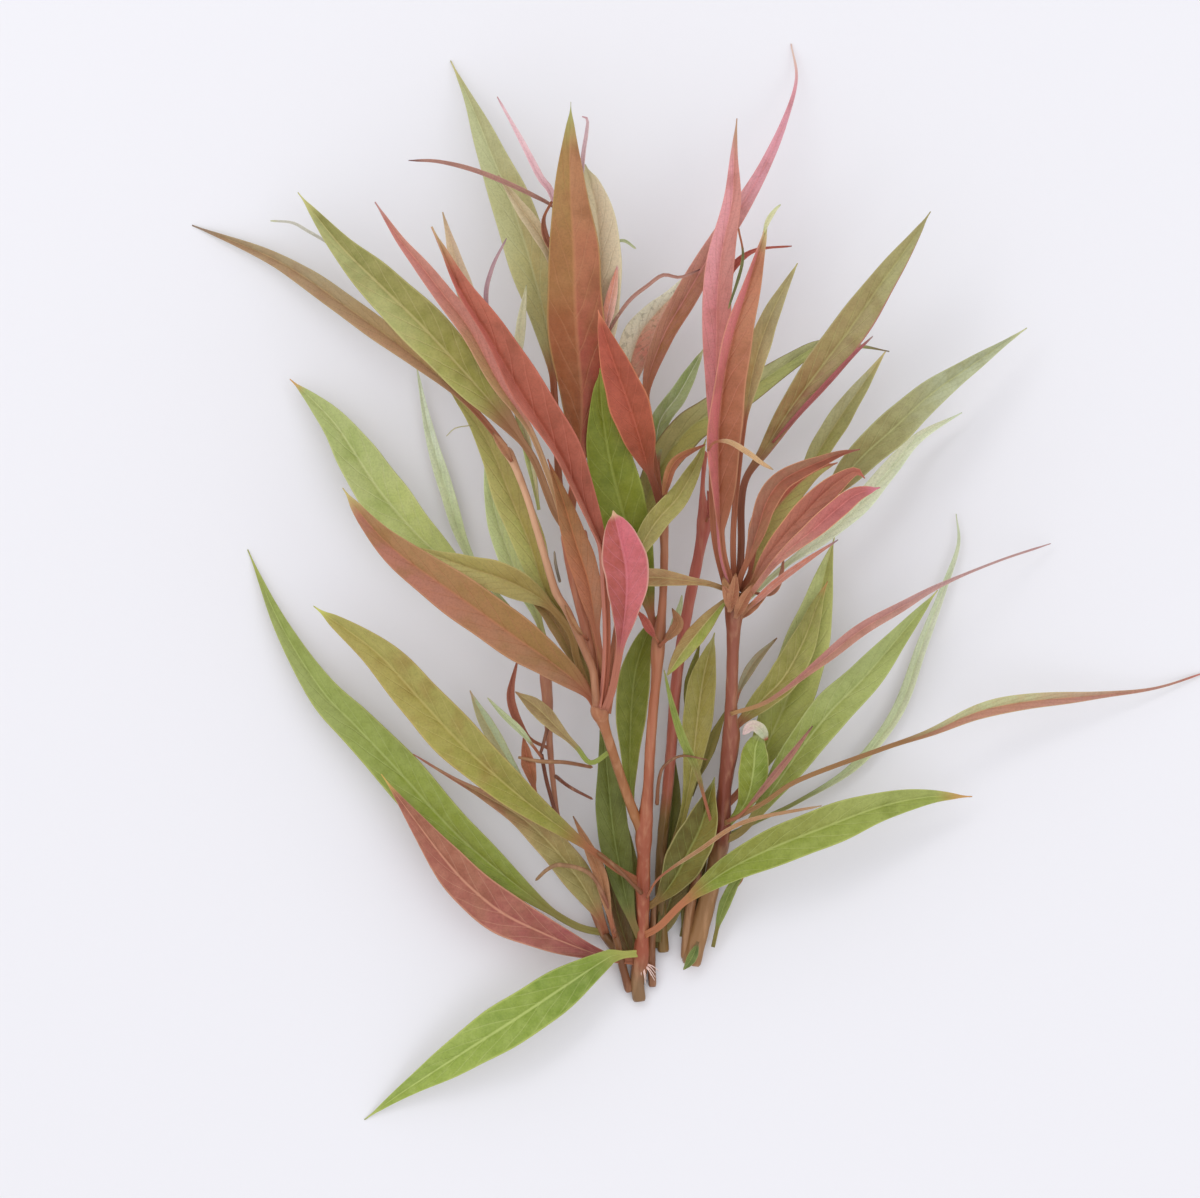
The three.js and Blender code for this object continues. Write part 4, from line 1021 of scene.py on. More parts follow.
FRONT = Crown("front stem", (
    Leaf("leaf_pink_red_lower_left", Slot.RED_BROWN, LeafSkin(
        left=(158, 86, 80), right=(156, 78, 76), left_end=(160, 94, 78), right_end=(154, 94, 72),
        tip=(218, 185, 100), tip_from=0.92, rib=(214, 156, 128), rib_share=0.6, rim=(220, 168, 132),
        under=(200, 130, 112), patch=(134, 84, 56), patch_share=0.4,
    ), (
        (128, 47, 2.8), (123, 47.6, 3), (120, 48.4, 3.6), (115, 50.2, 5.4), (108, 53.2, 7.6),
        (100.2, 57.2, 9.4), (93.4, 62.8, 10.6), (88.4, 68.4, 11), (82.8, 75.8, 10.6), (76, 85, 9.5),
    ), width=8.8, petiole=0.03, widest=0.48, taper=1.4, fold=12),
    Leaf("leaf_yellow_green_drooping", Slot.YELLOW_GREEN, LeafSkin(
        left=(124, 146, 50), right=(132, 152, 54), left_end=(150, 168, 72),
        right_end=(150, 168, 78), tip=(185, 195, 110), stalk=(165, 165, 85), rib=(200, 212, 130),
        rib_share=0.6, rim=(200, 208, 120), patch=(104, 132, 34), patch_share=0.45,
    ), (
        (128.2, 48.8, 3.8), (123, 48.4, 6.8), (121, 47.6, 7.5), (113, 42.4, 9), (104, 36.4, 9),
        (92, 28.6, 6.5), (80, 20.6, 2.5), (72.4, 15, LIES),
    ), width=9.8, petiole=0.05, widest=0.4, taper=1.25),
    Leaf("leaf_dark_green_front", Slot.DARK_GREEN, LeafSkin(
        left=(100, 106, 42), right=(100, 104, 42), tip=(130, 130, 70), stalk=(120, 100, 55),
        rib=(140, 150, 85), rib_share=0.4, rim=(135, 140, 80), patch=(78, 84, 32), patch_share=0.4,
    ), (
        (128.4, 50.8, 4), (126, 57, 7.5), (124, 66, 8), (122.6, 74, 9.5), (121.8, 82, 11),
        (121, 90, 12.5), (120, 96.8, 14),
    ), width=6.6, petiole=0.1),
    Leaf("leaf_green_lower_right", Slot.GREEN, LeafSkin(
        left=(130, 132, 46), right=(130, 144, 42), left_end=(154, 162, 86),
        right_end=(146, 158, 72), tip=(208, 155, 95), tip_from=0.88, stalk=(175, 110, 75),
        rib=(192, 200, 120), rim=(196, 200, 120), patch=(108, 120, 34), patch_share=0.45,
    ), (
        (128.8, 52.4, 5.2), (132, 54.4, 8), (137, 59.4, 10.5), (145, 65.4, 12.5), (154, 70, 13.5),
        (164, 74, 13.5), (176, 78.4, 12), (186, 80.4, 9.5), (195, 80.4, 6),
    ), width=8.4, petiole=0.15),
    Leaf("leaf_dark_green_right_base", Slot.DARK_GREEN, LeafSkin(
        left=(92, 80, 24), right=(118, 104, 36), tip=(130, 130, 70), stalk=(130, 100, 55),
        rib=(150, 155, 85), patch=(76, 90, 36),
    ), (
        (128.7, 57.6, 6.5), (132, 60, 7.5), (135, 64, 8.5), (137.6, 69, 9.5), (140.4, 75, 11),
        (143, 84.4, 13.8),
    ), width=8.4, petiole=0.1),
    Leaf("leaf_olive_brown_lower_left", Slot.OLIVE, LeafSkin(
        left=(144, 142, 56), right=(138, 132, 58), left_end=(168, 156, 82),
        right_end=(164, 156, 84), tip=(205, 205, 110), tip_from=0.93, stalk=(150, 92, 60),
        rib=(195, 180, 110), rim=(200, 175, 110), patch=(140, 108, 50), patch_share=0.55,
    ), (
        (128.6, 63, 9.5), (124, 65.6, 11.5), (120, 68.6, 13), (114, 73, 14.5), (104, 80.6, 16),
        (93, 90.4, 16.5), (84, 100, 16), (75, 109.6, 14.5), (62.4, 118.8, 11),
    ), width=9.6, petiole=0.15, widest=0.52, taper=0.9),
    Leaf("leaf_green_between_stems", Slot.GREEN, LeafSkin(
        left=(118, 124, 36), right=(122, 128, 38), tip=(135, 140, 70), rib=(165, 170, 95),
        patch=(90, 104, 30), patch_share=0.45,
    ), (
        (128.4, 74, 13.5), (126.4, 77.6, 13), (126, 86, 13), (126.2, 96, 13.5), (127, 105, 14.5),
        (129, 112, 15.4), (132, 117.6, 16.4),
    ), width=6.8, petiole=0.05, widest=0.6),
    Leaf("leaf_bright_green_centre", Slot.GREEN, LeafSkin(
        left=(116, 126, 30), right=(122, 130, 36), tip=(150, 158, 70), rib=(170, 178, 90),
        rib_share=0.35, rim=(165, 172, 85), patch=(92, 110, 26), patch_share=0.5,
    ), (
        (131.6, 111, 19), (130, 118, 19), (128, 126, 19.5), (125, 136, 23), (122.4, 146, 26.2),
        (120.9, 154, 29.2), (120.2, 160, 31), (120, 166, 32.4),
    ), width=10.2, petiole=0.1, widest=0.5, taper=0.9, fold=8),
    Leaf("leaf_red_front", Slot.RED, LeafSkin(
        left=(156, 76, 50), right=(154, 76, 48), left_end=(168, 80, 62), right_end=(156, 76, 56),
        tip=(210, 130, 95), stalk=(146, 84, 62), rib=(205, 110, 85), rib_share=0.3,
        rim=(220, 145, 100), under=(195, 110, 95), patch=(136, 62, 36), patch_share=0.45,
    ), (
        (132, 139, 21.5), (131, 142.6, 23.5), (129.4, 147, 28), (127.2, 154.4, 33),
        (125.2, 160.4, 35.5), (122.8, 167, 37), (120.8, 173, 37), (119.6, 177.6, 36),
    ), width=8.2, petiole=0.18),
    Leaf("leaf_pale_spotted_curl", Slot.PALE_GREEN, LeafSkin(
        left=(226, 216, 190), right=(216, 140, 120), left_end=(240, 240, 215),
        right_end=(220, 178, 150), turns=0.6, tip=(205, 205, 175), stalk=(156, 92, 68),
        rib=(215, 205, 170), rim=(215, 200, 165), patch=(120, 110, 80), patch_share=0.15,
        spots=0.35,
    ), (
        (132.2, 140.6, 19), (129.8, 147, 17.2), (127, 154, 16.4), (125.6, 161, 15.4),
        (126, 167.4, 14.6), (128, 173.4, 13.6), (131.2, 177.6, 12.8), (134.6, 181.2, 12),
        (138.4, 186.4, 10),
    ), width=6.6, petiole=0.42, widest=0.35),
    Leaf("leaf_tall_pink_back", Slot.RED_BROWN, LeafSkin(
        left=(184, 130, 100), right=(168, 110, 70), left_end=(226, 160, 172),
        right_end=(220, 158, 170), turns=0.56, tip=(226, 198, 180), tip_from=0.88,
        rib=(225, 150, 145), rim=(225, 160, 145), under=(215, 150, 150), patch=(140, 80, 50),
        patch_share=0.4,
    ), (
        (132.2, 140.4, 20), (130.2, 152, 20), (129.4, 162.6, 19.5), (132.6, 172.6, 19),
        (137, 180.4, 19), (142, 189, 18.5), (148.4, 199, 16.5), (153, 207, 13), (157, 216, 8.5),
        (159.6, 225, 3.5), (158.6, 232.4, LIES),
    ), width=4.8, widest=0.28, taper=1.4),
))

RIGHT = Crown("right stem below its crown", (
    Leaf("leaf_thin_pale_right", Slot.PALE_GREEN, LeafSkin(
        left=(194, 204, 152), right=(214, 220, 170), left_end=(202, 210, 178),
        right_end=(218, 222, 196), tip=(205, 212, 180), stalk=(150, 152, 90), rib=(212, 220, 175),
        rib_share=0.8, rim=(212, 220, 185), patch=(160, 178, 128),
    ), (
        (144.6, 72, 6.5), (152, 75.6, 5), (160, 79.4, 4), (171.4, 86.6, 3), (180, 97.6, 2.5),
        (185, 111, 2.5), (189.2, 122, 2.5), (192.3, 131, 2), (191.9, 137.4, 1.5),
    ), width=2.6),
    Leaf("leaf_green_right", Slot.GREEN, LeafSkin(
        left=(134, 142, 58), right=(146, 152, 68), left_end=(164, 174, 108),
        right_end=(164, 174, 100), tip=(196, 194, 118), tip_from=0.94, stalk=(150, 130, 75),
        rib=(190, 196, 130), rim=(195, 200, 135), patch=(112, 124, 46), patch_share=0.45,
    ), (
        (144, 71, 8), (149.2, 74.2, 9.5), (155.3, 82.7, 11.5), (160.3, 90.1, 13), (166.3, 97.7, 14),
        (172.7, 104.1, 14), (180.2, 112.8, 12), (188, 122, 8),
    ), width=8, petiole=0.1),
    Leaf("leaf_long_right", Slot.OLIVE, LeafSkin(
        left=(190, 192, 144), right=(186, 134, 112), left_end=(186, 134, 124),
        right_end=(182, 132, 122), turns=0.66, tip=(196, 118, 110), stalk=(150, 110, 70),
        stalk_to=0.25, rib=(200, 140, 100), patch=(150, 100, 60),
    ), (
        (144.8, 75, 10), (148.6, 77, 14.4), (153, 79.5, 16.2), (160, 84, 17.5), (176, 90, 17.5),
        (186, 93.4, 16), (196, 97.6, 13.5), (206, 99.6, 10.5), (220, 100.8, 6), (232, 102.2, 2.5),
        (243, 105.6, LIES),
    ), width=3.4, petiole=0.35, widest=0.385, taper=2.5),
    Leaf("leaf_tall_olive_right", Slot.OLIVE, LeafSkin(
        left=(156, 160, 66), right=(168, 174, 80), left_end=(192, 200, 132),
        right_end=(190, 194, 112), tip=(190, 185, 120), rib=(198, 198, 130), rim=(200, 200, 135),
        patch=(140, 138, 68), patch_share=0.45,
    ), (
        (144.8, 78, 10), (150, 84, 9), (155, 94, 8.5), (160, 106, 8), (163.2, 117, 8),
        (165.4, 126, 7.5), (167.2, 132.6, 7),
    ), width=10.2, petiole=0.1),
    Leaf("leaf_dark_olive_right", Slot.OLIVE, LeafSkin(
        left=(138, 134, 56), right=(142, 128, 58), left_end=(146, 144, 72),
        right_end=(162, 164, 86), tip=(200, 155, 95), patch=(105, 102, 46),
    ), (
        (146.3, 93.6, 15), (149.4, 96.8, 13.6), (153, 100.4, 12.2), (157, 104.6, 11.4),
        (161, 112, 11), (164, 120, 10.5), (165.8, 123.8, 10.3),
    ), width=6.4, petiole=0.05),
    Leaf("leaf_bright_green_right", Slot.YELLOW_GREEN, LeafSkin(
        left=(136, 142, 48), right=(134, 142, 48), left_end=(122, 132, 38),
        right_end=(112, 128, 34), tip=(190, 196, 140), stalk=(130, 150, 60), stalk_to=0.12,
        rib=(200, 210, 130), patch=(125, 145, 55),
    ), (
        (144.8, 74.2, 8.6), (147.8, 77.2, 10.4), (149.8, 80.8, 12.6), (150.8, 86, 14.2),
        (151.2, 90.4, 14.6), (152.4, 93.6, 14.8),
    ), width=6, petiole=0.12, widest=0.62, taper=0.7, fold=6),
    Leaf("leaf_long_pink_right", Slot.PINK, LeafSkin(
        left=(180, 120, 108), right=(180, 128, 104), left_end=(186, 152, 150),
        right_end=(192, 156, 152), tip=(190, 150, 148), stalk=(170, 128, 84), rib=(215, 150, 135),
        rim=(215, 155, 130), patch=(146, 84, 70),
    ), (
        (146.2, 97.2, 17.5), (154, 100, 20), (164, 107.6, 22), (172, 113.9, 22), (180, 118.5, 20.5),
        (188, 122.9, 17), (200, 127.8, 9), (211, 131.4, 2),
    ), width=2.7, petiole=0.05, widest=0.36, taper=4),
))

RIGHT_CROWN = Crown("crown of the right stem", (
    Leaf("leaf_tall_red", Slot.RED, LeafSkin(
        left=(220, 138, 138), right=(196, 118, 110), left_end=(222, 152, 156),
        right_end=(202, 136, 126), tip=(186, 150, 118), tip_from=0.86, rib=(222, 150, 140),
        rib_share=0.35, rim=(222, 150, 130), under=(215, 145, 140), patch=(160, 92, 72),
        patch_share=0.45,
    ), (
        (145.6, 121, 21.5), (143, 132, 24), (142.4, 144, 25), (143, 160, 26), (143.2, 171.6, 26.5),
        (143.4, 181, 26.5), (144.4, 190, 26), (146.4, 200, 24.5), (146.8, 209, 22),
        (147.4, 216.4, 19),
    ), width=6.1, petiole=0.3, widest=0.44, taper=1.2),
    Leaf("leaf_two_tone_front", Slot.ORANGE, LeafSkin(
        left=(202, 110, 110), right=(154, 88, 56), left_end=(208, 118, 118),
        right_end=(184, 124, 92), tip=(205, 195, 140), tip_from=0.88, rib=(205, 130, 105),
        rib_share=0.4, rim=(205, 150, 110), under=(215, 130, 140), patch=(134, 78, 44),
        patch_share=0.4,
    ), (
        (146.2, 123.2, 24), (144.4, 130, 27), (143.6, 142, 31), (143.4, 152, 33.5), (144, 160, 35),
        (145.1, 167, 35.5), (146.8, 174, 35.5), (148.7, 180, 34.5), (151, 187.6, 32),
        (153.6, 195.6, 28),
    ), width=9.6, petiole=0.15, widest=0.39, taper=0.95, fold=35, roll=30),
    Leaf("leaf_olive_behind_two_tone", Slot.OLIVE, LeafSkin(
        left=(170, 134, 78), right=(180, 154, 106), left_end=(158, 144, 100),
        right_end=(168, 156, 114), tip=(185, 175, 115), patch=(130, 105, 58),
    ), (
        (146.8, 123, 22.5), (146.6, 134, 26.5), (148, 150, 29.5), (149.6, 161, 30),
        (151.6, 170, 29.5), (154.6, 178, 28.5), (159.4, 187.2, 26),
    ), width=4.4, petiole=0.5),
    Leaf("leaf_big_olive_brown_right", Slot.OLIVE, LeafSkin(
        left=(148, 110, 66), right=(146, 106, 74), left_end=(160, 149, 100),
        right_end=(166, 160, 112), turns=0.6, tip=(165, 155, 105), stalk=(144, 88, 66),
        rib=(185, 180, 115), rib_share=0.35, rim=(175, 165, 115), right_rim=(176, 98, 100),
        rim_share=0.8, patch=(122, 96, 46), patch_share=0.5,
    ), (
        (147.8, 122.6, 22), (148.2, 131, 23.2), (148.2, 139, 24), (149.2, 144.4, 25),
        (152.8, 149.8, 25.5), (157.6, 157.6, 26), (163.8, 166, 26), (169.8, 174, 25.5),
        (176, 183, 24), (182, 191.4, 21.5), (186.2, 197.8, 18),
    ), width=7.4, petiole=0.25, widest=0.5),
    Leaf("leaf_small_olive_right", Slot.OLIVE, LeafSkin(
        left=(178, 174, 118), right=(168, 166, 90), left_end=(184, 180, 140),
        right_end=(172, 168, 110), tip=(208, 190, 132), tip_from=0.8, patch=(128, 116, 62),
    ), (
        (148.6, 120.6, 20.5), (154, 131, 17), (158.6, 140, 15), (164, 150, 14),
        (168.8, 157.6, 13.5), (173, 163.6, 13), (177.4, 170, 12),
    ), width=4.8, petiole=0.4),
    Leaf("leaf_pointed_olive_right", Slot.OLIVE, LeafSkin(
        left=(146, 134, 80), right=(148, 140, 86), left_end=(170, 174, 140),
        right_end=(184, 189, 154), tip=(205, 205, 155), rib=(185, 185, 125), rim=(195, 195, 140),
        patch=(130, 122, 70), patch_share=0.5,
    ), (
        (149, 121, 21), (157, 130.4, 21.5), (165.2, 140.2, 21.5), (172, 148.2, 21),
        (178.6, 154.2, 20), (186, 161, 18), (195, 167.4, 14), (206, 174.8, 7),
    ), width=7.2, petiole=0.31, widest=0.32, taper=1.2),
    Leaf("leaf_mint_back", Slot.PALE_GREEN, LeafSkin(
        left=(218, 216, 184), right=(234, 238, 204), tip=(212, 222, 188), stalk=(180, 180, 140),
        rib=(216, 226, 190), rim=(216, 226, 192), patch=(180, 200, 160),
    ), (
        (148.8, 119.6, 19.5), (157, 126.8, 14), (164, 132, 11), (172, 139, 9), (178, 146, 7.5),
        (184, 152.6, 6), (193, 157.8, 4),
    ), width=4),
    Leaf("leaf_curled_red", Slot.RED, LeafSkin(
        left=(148, 98, 76), right=(158, 104, 74), left_end=(152, 108, 80), right_end=(138, 74, 52),
        tip=(150, 90, 75), rib=(195, 110, 90), rim=(214, 150, 110), rim_share=0.75,
        under=(185, 110, 95), patch=(118, 60, 42), patch_share=0.45,
    ), (
        (147.4, 122, 23), (148.2, 125, 25.4), (149.6, 128.4, 27.2), (151.4, 134, 28.6),
        (153.2, 139.6, 30.4), (155.8, 143.4, 31.6), (159.4, 145.6, 32), (164, 147.6, 31.6),
        (168, 149.2, 30.4), (171.8, 150, 29),
    ), width=4.4, petiole=0.15, widest=0.42),
    Leaf("leaf_red_green_stripe", Slot.RED_BROWN, LeafSkin(
        left=(194, 106, 86), right=(206, 204, 118), right_end=(190, 186, 110), tip=(175, 110, 85),
        rib=(196, 150, 105), rib_share=0.6, rim=(190, 160, 110), patch=(150, 76, 60),
    ), (
        (148.2, 121.6, 22.6), (150.4, 126, 24.2), (151.6, 131.4, 25.4), (153.4, 136, 26.4),
        (156.8, 140.2, 27.4), (160.6, 144, 28), (163.8, 146, 27.8), (167.4, 147.4, 27),
    ), width=6.4, petiole=0.12),
    Leaf("leaf_red_brown_right", Slot.RED_BROWN, LeafSkin(
        left=(180, 112, 90), right=(184, 118, 96), left_end=(168, 95, 78), right_end=(176, 106, 86),
        tip=(190, 110, 90), stalk=(160, 110, 75), rib=(190, 125, 100), rib_share=0.35,
        rim=(222, 165, 115), rim_share=0.8, under=(200, 130, 115), patch=(138, 82, 56),
        patch_share=0.5,
    ), (
        (148.4, 120.8, 23), (150.6, 123.6, 25.6), (152.6, 127.6, 27.8), (156, 132, 29.2),
        (160, 136.4, 30), (164, 140.6, 30.2), (168, 144, 29.6), (171, 145.6, 28.6),
        (172.8, 144.2, 27.6),
    ), width=5.2, petiole=0.12, widest=0.55, taper=0.9),
    Leaf("leaf_pink_red_right", Slot.RED_BROWN, LeafSkin(
        left=(188, 128, 108), right=(186, 134, 112), left_end=(182, 100, 94),
        right_end=(174, 98, 94), tip=(215, 130, 145), rib=(220, 135, 130), rim=(224, 168, 120),
        rim_share=0.8, under=(210, 125, 130), patch=(150, 78, 70), patch_share=0.45,
    ), (
        (148, 119.6, 22.8), (150, 121.2, 27), (152.4, 124.4, 29.2), (154.8, 127.4, 30.8),
        (158, 130.4, 31.8), (162.4, 134, 32.6), (167, 138, 32.6), (171, 141, 31.6),
        (175.8, 142.4, 29.8),
    ), width=4.2, petiole=0.1, widest=0.68, taper=0.9),
    Leaf("leaf_green_hanging", Slot.GREEN, LeafSkin(
        left=(140, 148, 60), right=(156, 124, 72), left_end=(160, 168, 78), tip=(160, 155, 90),
        stalk=(140, 140, 66), stalk_to=0.08, rim=(165, 120, 75), patch=(120, 115, 55),
    ), (
        (145.6, 120.4, 24), (143.8, 118.6, 24.6), (140, 114.1, 24), (136.4, 109.5, 23),
        (133.4, 104.9, 22.4),
    ), width=4, petiole=0.05, widest=0.5, taper=0.8),
    Leaf("leaf_brown_pointing_left", Slot.BROWN, LeafSkin(
        left=(172, 132, 86), right=(176, 136, 94), tip=(170, 150, 100), stalk=(160, 112, 72),
        patch=(130, 96, 54), patch_share=0.45,
    ), (
        (145.4, 122, 23), (142, 123.2, 24), (138, 123.8, 24), (133, 124.4, 23.5),
        (129, 124.6, 23.5), (125, 125, 23),
    ), width=3.8, petiole=0.02, widest=0.75, taper=0.6),
))

# Small leaves, strips and bracts that have no solid of their own.
TAN_STRIP = LeafSkin(left=(196, 165, 132), right=(190, 158, 122), tip=(180, 150, 115),
                     patch=(170, 125, 95), rib=(215, 190, 150), rim=(215, 195, 160))
BROWN_STRIP = LeafSkin(left=(150, 95, 85), right=(165, 110, 95), tip=(120, 80, 75),
                       patch=(120, 75, 65), rib=(190, 150, 120), rim=(190, 155, 130))
PINK_STRIP = LeafSkin(left=(214, 155, 165), right=(220, 168, 175), tip=(200, 150, 155),
                      patch=(200, 120, 135), rib=(235, 195, 195), rim=(235, 200, 195))
RED_STRIP = LeafSkin(left=(165, 78, 68), right=(175, 88, 76), tip=(160, 85, 70),
                     patch=(130, 55, 50), rib=(200, 120, 95), rim=(205, 135, 105))
GREEN_STRIP = LeafSkin(left=(118, 132, 58), right=(132, 145, 68), tip=(150, 150, 90),
                       patch=(98, 112, 46), rib=(175, 180, 110), rim=(180, 185, 115))
PALE_STRIP = LeafSkin(left=(180, 190, 140), right=(190, 198, 152), tip=(195, 195, 150),
                      patch=(190, 150, 130), rib=(215, 218, 180), rim=(215, 218, 180))
DRY_STRIP = LeafSkin(left=(150, 100, 66), right=(165, 118, 80), tip=(130, 90, 60),
                     patch=(110, 68, 45), rib=(185, 140, 100), rim=(190, 150, 110))
CROWN_STRIP = LeafSkin(left=(170, 112, 80), right=(156, 96, 68), tip=(150, 100, 66),
                       stalk=(172, 120, 90), patch=(130, 80, 50), rib=(204, 156, 116),
                       rim=(208, 164, 122))
# Painted shade: a leaf colour darkened for the shade that falls deep among the stems.
SHADED_STRIP = LeafSkin(left=(98, 96, 42), right=(108, 106, 46), tip=(110, 106, 50),
                        stalk=(100, 88, 44), patch=(84, 78, 34), rib=(134, 134, 72),
                        rim=(130, 128, 68))
MUTED_STRIP = LeafSkin(left=(168, 132, 140), right=(180, 142, 146), tip=(150, 120, 125),
                       patch=(140, 100, 105), rib=(200, 170, 165), rim=(200, 172, 165))

